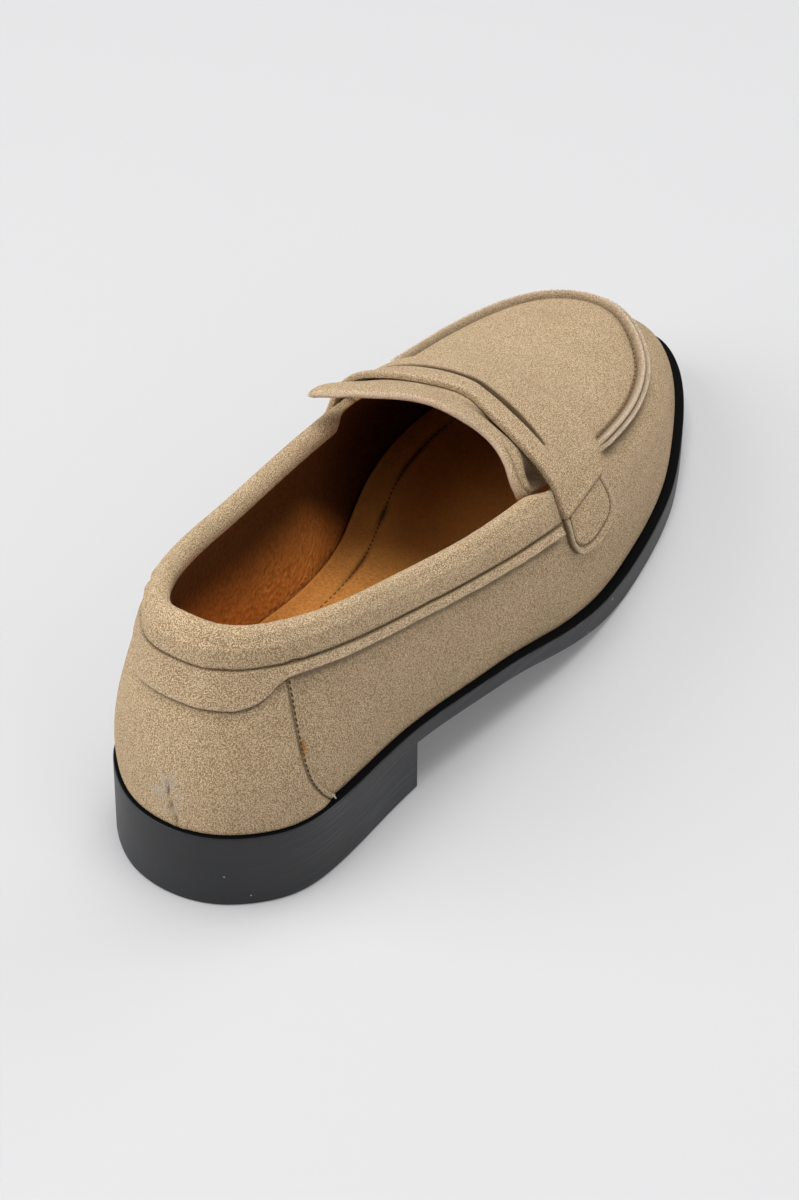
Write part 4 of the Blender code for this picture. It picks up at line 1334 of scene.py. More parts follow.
def make_trim():
    """Raised strip under the collar, deeper at the heel as a tab."""
    start, end = TRIM_ENDS
    u = np.concatenate([
        np.linspace(start, -3.02, 110), np.linspace(-3, 3, 180), np.linspace(3.02, end, 114)])
    top = trim_edge(u, "top")
    low = trim_edge(u, "low")
    shares = np.concatenate([(0, 0.02, 0.05, 0.10), np.linspace(0.17, 0.83, 10), (0.90, 0.95, 0.98, 1)])
    depth = top + (low - top) * shares[:, None]
    place_u = np.broadcast_to(u, depth.shape)
    profile = depth_profile(place_u, depth)
    base = offset(place_u, profile, np.full(depth.shape, GAP))
    down = run_length(base, 0)
    along = run_length(base, 1)
    wave = 0.06 * np.sin(along / 3.1) + 0.05 * np.sin(along / 1.3 + 2)
    ends = round_off(np.minimum(along, along[:, -1:] - along), 1.2)
    shape = np.minimum(round_off(down, 0.5), round_off(down[-1:] - down, 0.45)) * ends
    rise = 0.62 + 0.38 * smooth(shares, 0.05, 0.85)[:, None]
    lift = GAP + 0.05 + (TRIM - 0.05) * (1 + wave) * shape * rise
    # Painted shade in the collar stitch groove, and a painted shadow line along the low edge
    groove = (0.35 + 0.40 * smooth(abs(u), 1.6, 2.8)) * hump(down, 0.24)
    groove = groove + 0.85 * hump(down[-1:] - down, 0.20)
    # Painted highlight on the lit strip just above the low edge
    cut = 0.30 * hump(down[-1:] - down - 0.6, 0.5)
    skin = sheet(offset(place_u, profile, lift), base, groove=np.clip(groove, 0, 1), cut=cut)
    skin.build("suede_collar_trim", [suede], "suede", "collar_trim")


make_trim()

# %% [markdown]
# ## Strap
# The strap crosses the vamp, thick at its back edge and pared away to nothing at its front edge
# over the apron. A slit runs across it, and each end is folded and stitched down as a rounded
# tab. A Boolean could cut the slit, but it leaves long thin faces that shade badly. So the grid
# follows both lips of the slit, and the fold line and the border groove are pressed into it.

# %% Outline of the strap
STRAP = 1.8
STRAP_FADE = (-0.75, -0.35)
STRAP_EDGES = Table("across back front stand", (
    (-1.50, 8.44, 8.62, 0.0), (-1.46, 8.24, 9.05, 0.0), (-1.38, 8.19, 9.34, 0.0),
    (-1.25, 8.24, 9.42, 0.0), (-1.12, 8.27, 9.46, 0.0), (-1.00, 8.30, 9.66, 0.0),
    (-0.85, 8.31, 9.84, 0.0), (-0.60, 8.28, 9.98, 0.0), (-0.40, 8.30, 10.05, 0.0),
    (-0.25, 8.39, 10.09, 0.0), (-0.12, 8.49, 10.11, 0.0), (0.05, 8.54, 10.12, 0.0),
    (0.30, 8.51, 10.08, 0.4), (0.60, 8.50, 9.98, 1.6), (0.85, 8.56, 9.82, 2.6),
    (1.00, 8.54, 9.62, 2.0), (1.12, 8.42, 9.40, 0.7), (1.25, 8.30, 9.34, 0.0),
    (1.38, 8.18, 9.26, 0.0), (1.46, 8.20, 8.95, 0.0), (1.50, 8.36, 8.48, 0.0),
))
STAND_REACH = 0.5
SLIT_EDGES = Table("across back front", (
    (-0.70, 8.675, 8.685), (-0.45, 8.70, 8.80), (-0.20, 8.81, 8.92), (0.00, 8.96, 9.06),
    (0.20, 9.03, 9.12), (0.40, 9.07, 9.15), (0.60, 9.13, 9.18), (0.78, 9.18, 9.19),
))
SLIT_ENDS = (-0.70, 0.78)
SLIT_SHARES = (0.24, 0.49)
TAB_THIN = 0.16
FOLD_LINE = ((8.22, -1.195), (8.86, -1.15), (9.50, -1.115))
TAB_STITCH = (
    (8.36, -1.20), (8.30, -1.30), (8.28, -1.37), (8.36, -1.425), (8.56, -1.445),
    (8.84, -1.425), (9.10, -1.39), (9.24, -1.34), (9.32, -1.27), (9.34, -1.15),
)
INNER_TAB_SHIFT = -0.04
print("the strap is", STRAP, "mm thick, and its slit runs across from", *SLIT_ENDS)


# %% Grid of the strap
def place_across(k, across):
    """Place round the shoe and profile of a station at a place across the foot."""
    k, across = np.broadcast_arrays(k, across)
    return np.where(across > 0, LOOP - k, k), 2 - abs(across)


def strap_grid():
    """Stations and places across of the strap's grid, and which cells the slit removes."""
    end = STRAP_EDGES.rows[-1, 0]
    low, high = SLIT_ENDS
    across = np.concatenate([
        np.linspace(-end, -1.08, 52), np.linspace(-1.06, -0.72, 24), np.linspace(low, high, 92),
        np.linspace(0.80, 1.06, 18), np.linspace(1.08, end, 52)])
    back = STRAP_EDGES.at("back", across)
    front = STRAP_EDGES.at("front", across)
    slit = (across >= low) & (across <= high)
    middle = back + (front - back) * np.where(across < 0, *SLIT_SHARES)
    slit_back = np.where(slit, SLIT_EDGES.at("back", across), middle - 0.005)
    slit_front = np.where(slit, SLIT_EDGES.at("front", across), middle + 0.005)
    start, stop = (0, 0.012, 0.03, 0.055), (0.945, 0.97, 0.988, 1)
    behind = np.concatenate([start, np.linspace(0.09, 0.91, 18), stop])
    ahead = np.concatenate([start, np.linspace(0.08, 0.92, 44), stop])
    rows = [back + (slit_back - back) * s for s in behind]
    rows += [slit_front + (front - slit_front) * s for s in ahead]
    keep = np.ones((len(rows) - 1, len(across) - 1), bool)
    keep[len(behind) - 1, slit[:-1] & slit[1:]] = False
    rows = np.array(rows)
    stand = STRAP_EDGES.at("stand", across) * (1 - smooth(rows, back, back + STAND_REACH))
    return rows, across, slit, len(behind), keep, stand


def strap_edge_distance(base, slit, half):
    """Millimetres to the nearest edge of the strap, the slit among them."""
    along = run_length(base, 0)
    ends = run_length(base, 1)
    outline = np.minimum(along, along[-1:] - along)
    outline = np.minimum(outline, np.minimum(ends, ends[:, -1:] - ends))
    lip = np.minimum(abs(along - along[half - 1]), abs(along - along[half]))
    return np.where(slit, np.minimum(outline, lip), outline), along[-1:] - along, lip


print("the strap's grid has", strap_grid()[0].size, "points on each face")


# %% Fold and seam of the strap's ends
def across_lines(table, shift=0.0, lift=0.0):
    """A line of (station, across) pairs on both ends of the strap, at a height over its base."""
    k, across = dense(table, 40).T
    ends = []
    for sign in (1, -1):
        moved = k + (shift if sign < 0 else 0)
        ends.append(offset(*place_across(moved, sign * across), np.full(len(k), GAP + lift)))
    return ends


def below_fold(k, across):
    """1 on the stitched-down ends, 0 on the strap between them."""
    fold_k, fold_across = np.array(FOLD_LINE).T
    return smooth(abs(across) + np.interp(k, fold_k, fold_across), -0.004, 0.010)


def nearest(points, lines):
    """Distance of points to the nearest of some lines."""
    return np.minimum.reduce([line_distance(points, line) for line in lines])


print("fold and seam lines run over both ends of the strap")


# %% Strap
def make_strap():
    """Strap with its slit and two stitched-down ends."""
    k, across, slit, half, keep, stand = strap_grid()
    u, profile = place_across(k, across)
    base = offset(u, profile, GAP + stand)
    edge, front, slit_gap = strap_edge_distance(base, slit, half)
    fade = smooth(across, *STRAP_FADE) * (1 - smooth(across, 1.0, 1.1))
    pared = fade * (1 - smooth(front, 0.0, 7.0))
    end = below_fold(k, across)
    fold = nearest(base, across_lines(FOLD_LINE))
    seam = nearest(base, across_lines(TAB_STITCH, INNER_TAB_SHIFT)) + 9 * (1 - end)
    thick = STRAP * (1 - 0.80 * pared) * (1 - TAB_THIN * end)
    lift = 0.12 + (thick - 0.12) * round_off(edge, 0.9 - 0.35 * end)
    lift += 0.40 * hump(fold - 1.0, 0.9) * (1 - end) - 0.75 * hump(fold - 0.25, 0.40) * end
    lift -= 0.45 * hump(seam, 0.38) - 0.20 * hump(edge - 0.8, 0.5) * end
    lift = GAP + stand + np.maximum(lift, 0.06)
    ahead = np.arange(len(k))[:, None] >= half
    # Painted shade in the tab seams, along the fold on the tabs, at the strap's edges and between the lips
    # of the slit
    lip = hump(slit_gap, np.where(ahead, 0.62, 0.30)) * slit
    groove = 0.80 * hump(seam, 0.32) + 0.9 * hump(fold - 0.15, 0.30) * end
    groove = groove + (0.45 + 0.4 * end) * hump(edge, 0.24) * (1 - pared) + lip
    # Pale cut edges, with painted highlights on the raised borders of the tabs
    cut = (0.12 + 0.30 * end) * hump(edge - 0.7, 0.5) * (1 - pared) * (1 - lip)
    skin = sheet(offset(u, profile, lift), base, keep, groove=np.clip(groove, 0, 1), cut=cut)
    skin.build("suede_strap", [suede], "suede", "strap")


make_strap()

# %% [markdown]
# ## Tongue
# The tongue runs back from under the strap and ends in a raw edge, which is the paler middle of
# the hide. It stands up on the inner side and dips under the collar on the outer side. Sculpting
# could bend it, but its place against the strap would be lost at the next change. So a table says
# how far it is tucked in at each place across, and two hollows lie at the strap's back edge.

# %% Lie of the tongue
TONGUE = 2.2
TONGUE_EDGE = Table("across edge tuck leave meet", (
    (-0.96, 8.02, 5.0, 8.05, 8.64), (-0.93, 7.93, 4.2, 8.04, 8.64), (-0.88, 7.87, 3.0, 8.02, 8.63),
    (-0.80, 7.85, 2.0, 8.00, 8.62), (-0.66, 7.90, 0.4, 7.80, 8.50), (-0.45, 7.96, -1.2, 7.60, 8.36),
    (-0.20, 7.85, -2.2, 7.60, 8.36), (0.00, 7.74, -2.6, 7.60, 8.40), (0.30, 7.58, -2.6, 7.60, 8.80),
    (0.60, 7.53, -4.2, 7.60, 9.05), (0.80, 7.48, -7.5, 7.60, 9.05),
))
TONGUE_DIPS = ((8.34, 0.14, -0.84, 0.14, 3.4), (8.37, 0.08, -0.42, 0.22, 1.0))
TONGUE_STITCH = (
    (8.04, -0.56), (8.00, -0.66), (7.97, -0.75), (7.98, -0.82), (8.03, -0.88), (8.12, -0.92),
)


def tongue_dips(k, across):
    """Hollows of the tongue at the back edge of the strap, each a depth and its share here."""
    for middle, length, side, width, depth in TONGUE_DIPS:
        yield depth, hump(k - middle, length) * hump(across - side, width)


def tongue_tuck(k, across):
    """How far the tongue is tucked in under the form."""
    tuck, leave, meet = (TONGUE_EDGE.at(name, across) for name in ("tuck", "leave", "meet"))
    dips = sum(depth * share for depth, share in tongue_dips(k, across))
    return tuck * (1 - smooth(k, leave, meet)) + dips


print("the tongue is tucked in by", round(float(tongue_tuck(8.0, -0.9)), 1), "mm on the outer side")


# %% Tongue
def make_tongue():
    """Tongue from under the strap back over the opening."""
    across = np.linspace(*TONGUE_EDGE.rows[[0, -1], 0], 110)
    edge = TONGUE_EDGE.at("edge", across)
    root = THROAT_STATION - 0.02
    shares = np.concatenate([(0, 0.01, 0.025, 0.05), np.linspace(0.08, 1, 26)])
    k = np.array([edge + (root - edge) * s for s in shares])
    u, profile = place_across(k, across)
    tuck = tongue_tuck(k, across)
    base = offset(u, profile, -tuck)
    back = run_length(base, 0)
    ends = run_length(base, 1)
    rim_near = np.minimum(back, np.minimum(ends, ends[:, -1:] - ends))
    wave = 0.25 * np.sin(ends / 9.0) * (1 - smooth(back, 0, 12))
    step = (1 - round_off(rim_near, 1.0)) * 0.75
    line_k, line_across = dense(TONGUE_STITCH, 30).T
    line = offset(*place_across(line_k, line_across), -tongue_tuck(line_k, line_across))
    seam = hump(line_distance(base, line), 0.40)
    outer = offset(u, profile, -tuck - step + wave - 0.2 * seam)
    inner = offset(u, profile, -tuck - TONGUE + step + wave)
    # Painted shade in the stitch groove and in the hollows at the strap's back edge
    shade = sum(share for _, share in tongue_dips(k, across))
    groove = np.clip(0.6 * seam + 0.9 * shade, 0, 1)
    skin = sheet(outer, inner, cut=0.60 * hump(rim_near, 0.28), groove=groove)
    skin.build("suede_tongue", [suede], "suede", "tongue")


make_tongue()

# %% [markdown]
# ## Insole
# The insole is a leather sock on the sole, a little hollowed for the foot, with a row of stitches
# inside its edge. A filled outline would give one flat face that can't be hollowed. Its points are
# laid out from side to side at each station, and the distance to the outline gives the rounded
# edge, the hollow and the groove of the stitching.

# %% Insole
INSOLE = 2.5
INSOLE_STITCH = 8.6
INSOLE_DISH = 0.5
INSOLE_EDGE = 1.5
# Millimetres from the back over which painted light rises towards the insole's front
INSOLE_PAINTED_LIGHT = (100.0, 150.0)


def insole_ring(u, inset=0.0):
    """Insole edge in plan, just inside the wall where it leans in most."""
    lean = np.radians(np.clip(-around("foot_lean", u), 0, None))
    return rim(u, around("shelf", u) + WALL + 2 * GAP + (INSOLE + 2 * GAP) * np.tan(lean) + inset)


def make_insole():
    """Insole sheet on the sole's top."""
    ks = np.linspace(0.02, STATIONS - 0.02, 300)
    near = insole_ring(ks)
    far = insole_ring(-ks)
    shares = 0.5 - 0.5 * np.cos(np.pi * np.linspace(0, 1, 57))
    plan = near + (far - near) * shares[:, None, None]
    outline = insole_ring(np.linspace(0, LOOP, 361))
    edge = line_distance(plan, outline)
    base = sole_top(plan[..., 1]) + GAP
    stitch = hump(edge - INSOLE_STITCH, 0.55)
    dish = INSOLE_DISH * smooth(edge, 2.0, 16.0)
    lift = INSOLE_EDGE + (INSOLE - INSOLE_EDGE) * round_off(edge, 0.7) - 0.30 * stitch - dish
    top = stack(plan[..., 0], plan[..., 1], base + lift)
    low = stack(plan[..., 0], plan[..., 1], base)
    # Painted shade in the stitch groove and at the edge against the lining
    groove = 0.9 * hump(edge - INSOLE_STITCH, 0.32) + 0.2 * hump(edge, 0.5)
    # Pale cut edge, and painted light towards the front
    cut = 0.6 * hump(edge - 0.8, 0.35) + 0.6 * smooth(plan[..., 1], *INSOLE_PAINTED_LIGHT)
    skin = sheet(top, low, groove=np.clip(groove, 0, 1), cut=np.clip(cut, 0, 1))
    skin.build("leather_insole", [insole_leather], "tan_leather", "insole")


make_insole()

# %% [markdown]
# ## Sole
# Sole and heel are one moulding. A block with a Bevel modifier could be cut to shape, but the
# streaks need to know how far along the rim each point lies. So rings of points go down its side,
# first to the height of the tread, and behind the heel breast on down to the floor. All edges are
# a little rounded. The flat shelf on top and the upper half of its rounded edge take the dull
# black, which widens the dark band under the upper as painted shade; everything else the satin one.

# %% Rounded edges of the sole
EDGE_ROUND = 0.7
ROUND_STEPS = (0, 22.5, 45, 67.5, 90)


def round_ring(ring, inward, height, up):
    """Rings over a rounded edge, from its flat face to its side."""
    rings = []
    for degrees in ROUND_STEPS:
        a = math.radians(degrees)
        inset = EDGE_ROUND * (1 - math.sin(a))
        drop = EDGE_ROUND * (1 - math.cos(a))
        plan = ring + inward * inset
        rings.append(stack(plan[:, 0], plan[:, 1], height - up * drop))
    return rings


print("the sole's edges are rounded by", EDGE_ROUND, "mm")

# %% Rings of the sole
BREAST_STATION = 5.1
SOLE_COLUMNS = 20
SIDE_STEPS = np.linspace(0, 1, 7)[1:]
HEEL_STEPS = np.linspace(0, 1, 10)[1:]
SOLE_STATIONS = np.arange(0, SOLE_COLUMNS * STATIONS + 1) / SOLE_COLUMNS
SOLE_LOOP = np.concatenate([SOLE_STATIONS, LOOP - SOLE_STATIONS[-2:0:-1]])
MATES = -np.arange(len(SOLE_LOOP)) % len(SOLE_LOOP)
BREAST = int(round(BREAST_STATION * SOLE_COLUMNS))


def sole_rings(skin):
    """Rows over the crown, down the side, round the tread's edge and down the heel."""
    ring = rim(SOLE_LOOP)
    outward = out_normal(SOLE_LOOP)
    inward = -outward
    for i in (BREAST, MATES[BREAST]):
        inward[i] = (-np.sign(ring[i, 0]), 0)
    top = sole_top(ring[:, 1])
    tread = SOLE.at("tread", ring[:, 1])
    flare = HEEL_FLARE * smooth(station(SOLE_LOOP), 4.0, 1.0)[:, None] * outward
    run = run_length(np.concatenate([ring, ring[:1]]), 0)
    run = np.minimum(run, run[-1] - run)[:-1]

    def side_ring(z):
        part = np.clip((top - z) / np.maximum(top, 1), 0, 1)[:, None]
        plan = ring + flare * part
        return stack(plan[:, 0], plan[:, 1], z)

    def rows(rings):
        return [skin.row(r, run=run, height=r[:, 2]) for r in rings]

    high = top - EDGE_ROUND
    low = tread + EDGE_ROUND
    crown = rows(round_ring(ring, inward, top, 1))
    side = rows([side_ring(high + (low - high) * share) for share in SIDE_STEPS])
    edge = rows(round_ring(ring, inward, tread, -1)[::-1][1:])
    heel = [side_ring(low * (1 - share) + EDGE_ROUND * share) for share in HEEL_STEPS]
    heel = rows(heel + round_ring(ring + flare, inward, 0 * top, -1)[::-1][1:])
    return crown, side, edge, heel


print("the heel breast is at station", BREAST_STATION, "of", STATIONS)

# %% Sole
# Rings over the top of the rounded edge that also take the dull black, as painted shade under the upper
DULL_SHADE_RINGS = 2


def make_sole():
    """Sole with its heel."""
    skin = Skin()
    crown, side, edge, heel = sole_rings(skin)
    body = crown + side
    for number, (low, high) in enumerate(zip(body, body[1:])):
        skin.strip(low, high, True, kind=1 if number < DULL_SHADE_RINGS else 0)
    for i in range(STATIONS * SOLE_COLUMNS):
        j = i + 1
        skin.face([crown[0][i], crown[0][j], crown[0][MATES[j]], crown[0][MATES[i]]], 1)
        lower = [side[-1]] + (heel if j <= BREAST else edge)
        skin.face([lower[-1][i], lower[-1][j], lower[-1][MATES[j]], lower[-1][MATES[i]]])
        for a, b in zip(lower, lower[1:]):
            for p, q in ((i, j), (MATES[j], MATES[i])):
                skin.face([a[p], a[q], b[q], b[p]])
    near, far = BREAST, MATES[BREAST]
    down = [row[near] for row in heel] + [row[far] for row in heel[::-1]]
    back = [row[far] for row in [side[-1]] + edge] + [row[near] for row in edge[::-1] + [side[-1]]]
    skin.face(down + back)
    skin.build("rubber_sole", [rubber, shelf_rubber], "black_sole", "sole", sharp=60.0)


make_sole()

# %% [markdown]
# ## Stitches
# Sewing repeats one small shape along a line, which is what Geometry Nodes are for. An Array
# modifier on a curve would stretch the stitches where it bends. The tree takes a curve, puts a
# point at every pitch, sets a thread bead along the curve at each point, joins the beads and gives
# them the thread's finish. The rows of the shoe differ only in its named inputs, so a table gives
# each row's pitch, stitch length and thread radius in millimetres, its thread and its slot.


# %% Stitch tree
def make_stitch_tree():
    """Geometry nodes that sew a row of stitches along a curve."""
    tree = bpy.data.node_groups.new("stitch_row", "GeometryNodeTree")
    face = tree.interface
    face.new_socket("Geometry", in_out="INPUT", socket_type="NodeSocketGeometry")
    for name in ("Pitch", "Stitch Length", "Thread Radius"):
        face.new_socket(name, in_out="INPUT", socket_type="NodeSocketFloat")
    face.new_socket("Thread", in_out="INPUT", socket_type="NodeSocketMaterial")
    face.new_socket("Geometry", in_out="OUTPUT", socket_type="NodeSocketGeometry")
    new = tree.nodes.new
    start = new("NodeGroupInput")
    points = new("GeometryNodeCurveToPoints")
    points.mode = "LENGTH"
    bead = new("GeometryNodeMeshUVSphere")
    bead.inputs["Segments"].default_value = 8
    bead.inputs["Rings"].default_value = 6
    turn = new("FunctionNodeAlignRotationToVector")
    turn.axis = "X"
    half = new("ShaderNodeMath")
    half.operation = "MULTIPLY"
    half.inputs[1].default_value = 0.5
    size = new("ShaderNodeCombineXYZ")
    copies = new("GeometryNodeInstanceOnPoints")
    real = new("GeometryNodeRealizeInstances")
    soft = new("GeometryNodeSetShadeSmooth")
    paint = new("GeometryNodeSetMaterial")
    end = new("NodeGroupOutput")
    links = (
        (start, "Geometry", points, "Curve"), (start, "Pitch", points, "Length"),
        (points, "Tangent", turn, "Vector"), (start, "Stitch Length", half, 0),
        (half, 0, size, "X"), (start, "Thread Radius", size, "Y"), (start, "Thread Radius", size, "Z"),
        (points, "Points", copies, "Points"), (bead, "Mesh", copies, "Instance"),
        (turn, "Rotation", copies, "Rotation"), (size, "Vector", copies, "Scale"),
        (copies, "Instances", real, "Geometry"), (real, "Geometry", soft, "Geometry"),
        (soft, "Geometry", paint, "Geometry"), (start, "Thread", paint, "Material"),
        (paint, "Geometry", end, "Geometry"),
    )
    for source, output, target, socket in links:
        tree.links.new(source.outputs[output], target.inputs[socket])
    return tree


STITCH_TREE = make_stitch_tree()
STITCH_INPUTS = {
    item.name: item.identifier
    for item in STITCH_TREE.interface.items_tree if item.in_out == "INPUT"
}
print("inputs of the stitch tree:", ", ".join(STITCH_INPUTS))

# %% Sewing a row
STITCH_ROWS = {
    "collar_stitches": (2.1, 1.6, 0.17, "sand_thread", "suede"),
    "counter_stitches": (1.75, 1.25, 0.24, "dark_thread", "suede"),
    "apron_stitches": (1.75, 1.35, 0.27, "pale_thread", "suede"),
    "apron_foot_stitches": (2.6, 1.9, 0.28, "sand_thread", "suede"),
    "strap_stitches": (1.5, 1.15, 0.22, "sand_thread", "suede"),
    "tongue_stitches": (1.6, 1.2, 0.2, "sand_thread", "suede"),
    "insole_stitches": (2.4, 1.7, 0.24, "brown_thread", "tan_leather"),
}


def sew(name, lines):
    """One piece of stitches along lines of shoe points."""
    pitch, length, radius, thread, slot = STITCH_ROWS[name]
    path = bpy.data.curves.new(name + "_path", "CURVE")
    path.dimensions = "3D"
    for line in lines:
        points = place(line)
        spline = path.splines.new("POLY")
        spline.points.add(len(points) - 1)
        spline.points.foreach_set("co", np.column_stack([points, np.ones(len(points))]).ravel())
    guide = bpy.data.objects.new(name + "_guide", path)
    bpy.context.scene.collection.objects.link(guide)
    sewing = guide.modifiers.new("sewing", "NODES")
    sewing.node_group = STITCH_TREE
    values = {
        "Pitch": pitch / 1000, "Stitch Length": length / 1000, "Thread Radius": radius / 1000,
        "Thread": threads[thread],
    }
    for key, value in values.items():
        sewing[STITCH_INPUTS[key]] = value
    graph = bpy.context.evaluated_depsgraph_get()
    mesh = bpy.data.meshes.new_from_object(guide.evaluated_get(graph))
    mesh.name = name
    bpy.data.objects.remove(guide, do_unlink=True)
    ride_as(bpy.data.objects.new(name, mesh), slot)


def form_line(u, profile, lift):
    """Line on the form at a height over it."""
    u, profile, lift = np.broadcast_arrays(u, profile, lift)
    return offset(u, profile, lift)


def at_seam(u, distance):
    """Profile at a signed distance from the shoulder line."""
    size = np.where(np.asarray(distance) > 0, top_length(u), wall_length(u))
    return 1 + distance / size


print("pitches in millimetres:", *(row[0] for row in STITCH_ROWS.values()))

# %% [markdown]
# ### Sewing the shoe
# Seven rows of stitches hold the shoe together: collar, counter, both edges of the apron seam and
# its foot, the tabs of the strap, the tongue and the insole. Their lines could be traced by hand,
# but they run beside edges that the pieces already know, so each line comes from the same tables
# and sits just in its groove.

# %% Sewing the shoe
collar_u = np.linspace(TRIM_ENDS[0] - 0.1, TRIM_ENDS[1] + 0.05, 700)
collar_seam = form_line(collar_u, depth_profile(collar_u, trim_edge(collar_u, "top") - 0.2), 0.18)
sew("collar_stitches", [collar_seam])

heights = np.linspace(0.03, 0.80, 120)
counter_u = counter_station(heights) - COUNTER_STITCH
counter_seams = [form_line(side * counter_u, heights, GAP + 0.62 * COUNTER) for side in (1, -1)]
sew("counter_stitches", counter_seams)

RIDGE_ROWS = (-0.80, 0.80)
ridge_u = np.linspace(9.9, LOOP - 9.9, 900)
ridge_seams = [form_line(ridge_u, at_seam(ridge_u, d), RIDGE_HEIGHT + 0.02) for d in RIDGE_ROWS]
sew("apron_stitches", ridge_seams)
ridge_foot = form_line(ridge_u, at_seam(ridge_u, RIDGE_HALF + 0.35), -0.25)
sew("apron_foot_stitches", [ridge_foot])

tab_seams = across_lines(TAB_STITCH, INNER_TAB_SHIFT, STRAP * (1 - TAB_THIN) - 0.20)
sew("strap_stitches", tab_seams)

tongue_k, tongue_across = dense(TONGUE_STITCH, 40).T
tongue_depth = -tongue_tuck(tongue_k, tongue_across) - 0.12
tongue_seam = form_line(*place_across(tongue_k, tongue_across), tongue_depth)
sew("tongue_stitches", [tongue_seam])

insole_plan = insole_ring(np.linspace(0, LOOP, 800), INSOLE_STITCH)
insole_height = sole_top(insole_plan[:, 1]) + GAP + INSOLE - 0.42
insole_seam = stack(insole_plan[:, 0], insole_plan[:, 1], insole_height)
sew("insole_stitches", [insole_seam])

# %% [markdown]
# ## Loose threads
# Where the counter's sewing was cut short, an end of white thread stands out at the shelf, and a
# tuft of orange fibre has worked loose halfway up. Hair could be grown there, but it would be
# lost in the export. Each is a thin tube along a few points instead. Their ends stay in the
# suede, so they hang on the seam.

# %% Thin tubes
THREAD_SIDES = 5


def tube(skin, path, radius):
    """Closed thin tube along a path of shoe points."""
    path = np.asarray(path, float)
    ahead = unit(np.gradient(path, axis=0))
    side = unit(np.cross(ahead, (0.3, 0.2, 0.9)))
    other = np.cross(ahead, side)
    turns = np.arange(THREAD_SIDES) * 2 * math.pi / THREAD_SIDES
    ring = np.cos(turns)[:, None] * side[:, None] + np.sin(turns)[:, None] * other[:, None]
    rows = [skin.row(point + radius * around_point) for point, around_point in zip(path, ring)]
    for low, high in zip(rows, rows[1:]):
        skin.strip(low, high, True)
    skin.face(rows[0][::-1])
    skin.face(rows[-1])


def loose_path(u, profile, reach, height, count=6):
    """Path that leaves the seam at one point, bends out and comes to rest near another."""
    t = np.linspace(0, 1, count)
    return offset(u + reach[0] * t, profile + reach[1] * t, GAP + 0.55 * COUNTER + height * np.sin(2.4 * t))


print("a loose thread has", THREAD_SIDES, "sides")

# %% Loose threads
FRAY_SEED = 4
FRAY_FIBRES = 14
FRAY_PROFILE = 0.40


def make_loose_threads():
    """White thread end at the shelf and orange tuft on the seam."""
    low_u = float(counter_station(0.03)) - 0.5 * COUNTER_STITCH
    end = Skin()
    tube(end, loose_path(low_u, 0.045, (0.055, -0.035), 0.7), 0.20)
    end.build("white_thread_end", [threads["white_thread"]], "suede")
    random = np.random.default_rng(FRAY_SEED)
    fray_u = float(counter_station(FRAY_PROFILE)) - COUNTER_STITCH
    tuft = Skin()
    for _ in range(FRAY_FIBRES):
        start = FRAY_PROFILE + random.uniform(-0.035, 0.035)
        reach = (random.uniform(-0.10, 0.06), random.uniform(-0.04, 0.05))
        tube(tuft, loose_path(fray_u, start, reach, random.uniform(0.25, 0.8)), 0.10)
    tuft.build("orange_tuft", [threads["orange_thread"]], "suede")


make_loose_threads()

# %% [markdown]
# ## Floor
# The shoe stands on pale paper that is evenly bright to the edge of the picture. A curved
# backdrop could do that for one view, but this shoe is looked at from all sides. So the paper is
# flat and very large, and it glows a little, more so further out, where the lamps don't reach.

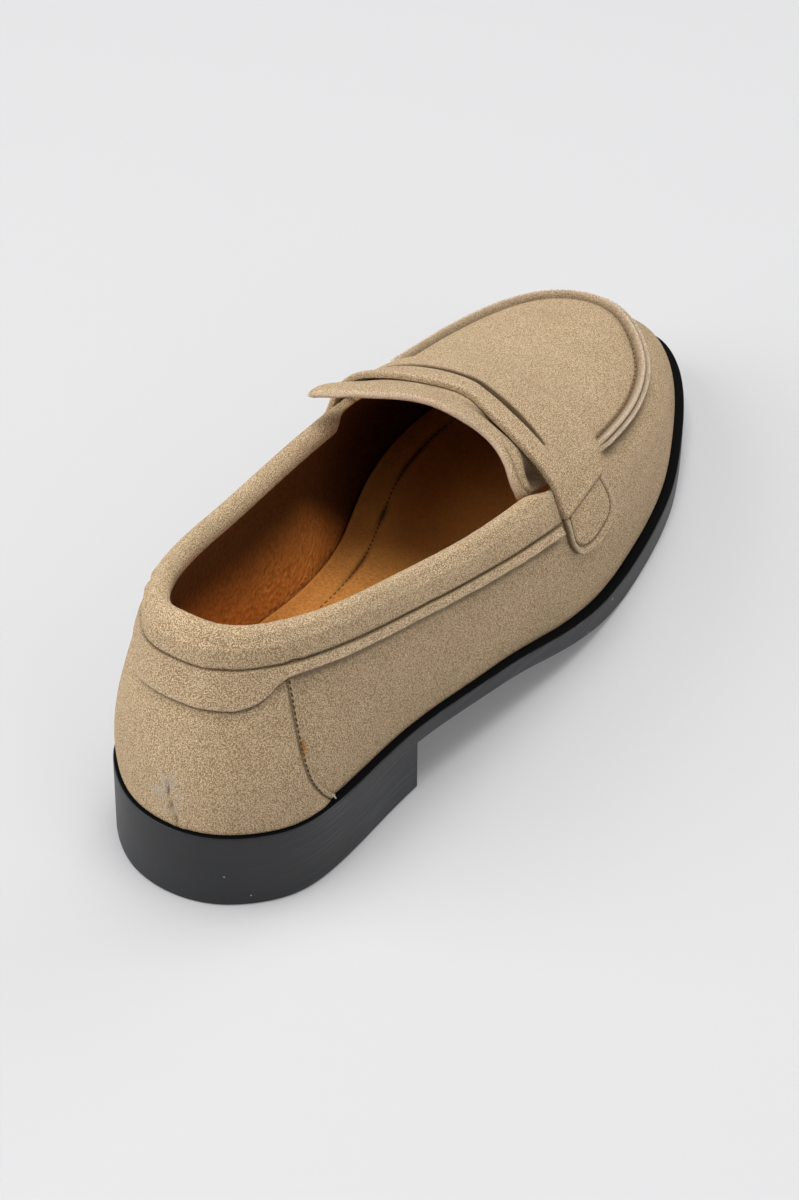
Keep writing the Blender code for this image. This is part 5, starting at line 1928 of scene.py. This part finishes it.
# %% Floor
FLOOR_SIZE = 40.0
FLOOR_GLOW = (0.095, 0.66)
FLOOR_REACH = (0.35, 2.5)
PAPER_GREY = colour(0.510, 0.510, 0.518)
floor_mesh = bpy.data.meshes.new("floor")
corners = [(x * FLOOR_SIZE, y * FLOOR_SIZE, 0) for x, y in ((-1, -1), (1, -1), (1, 1), (-1, 1))]
floor_mesh.from_pydata(corners, [], [(0, 1, 2, 3)])
floor = bpy.data.objects.new("floor", floor_mesh)
bpy.context.scene.collection.objects.link(floor)
paper = Finish("pale_paper", roughness=0.9, specular_ior_level=0.1, emission_strength=1.0)
far = paper.node("ShaderNodeVectorMath", {"operation": "LENGTH"}, {0: paper.where}, output="Value")
glow = paper.spread(far, *FLOOR_REACH, *FLOOR_GLOW)
paper.feed("Base Color", PAPER_GREY)
paper.feed("Emission Color", paper.grey(glow))
floor_mesh.materials.append(paper.material)
print("floor is", 2 * FLOOR_SIZE, "m wide")

# %% [markdown]
# ## Light
# The photograph has soft light from above, more of it on the heel side, and a tight shadow under
# the sole. A panorama of a studio could give that, but this script reads no pictures. Four broad
# lamps and a dim, even sky do it: the lamp overhead makes the shadow, the one behind lights heel
# and collar, and two weak ones lift the toe and the near side. Only the camera sees the pale
# backdrop, so a low view has no dark sky behind the shoe.

# %% Light
SKY_STRENGTH = 0.21
BACKDROP = 0.77
LAMPS = {
    "overhead_light": (-0.05, 0.05, 1.80, 1.0, 23.5),
    "heel_light": (-1.05, -1.20, 1.00, 1.8, 29.0),
    "toe_light": (0.35, 1.40, 1.20, 1.2, 7.0),
    "near_light": (1.40, -0.35, 0.95, 1.2, 6.2),
}

world = bpy.data.worlds.new("studio")
bpy.context.scene.world = world
world.use_nodes = True
sky = world.node_tree.nodes["Background"]
sky.inputs["Color"].default_value = colour(1.0, 1.0, 1.0)
path_kind = world.node_tree.nodes.new("ShaderNodeLightPath")
seen = Value(world.node_tree, path_kind.outputs["Is Camera Ray"])
backdrop = SKY_STRENGTH + (BACKDROP - SKY_STRENGTH) * seen
join(world.node_tree, sky.inputs["Strength"], backdrop)
for name, (*lamp_place, lamp_size, power) in LAMPS.items():
    lamp = bpy.data.objects.new(name, bpy.data.lights.new(name, "AREA"))
    lamp.data.size = lamp_size
    lamp.data.energy = power
    lamp.location = lamp_place
    lamp.rotation_euler = (-Vector(lamp_place)).to_track_quat("-Z", "Y").to_euler()
    bpy.context.scene.collection.objects.link(lamp)
bpy.context.scene.view_settings.view_transform = "Standard"
print("lamps:", ", ".join(LAMPS))
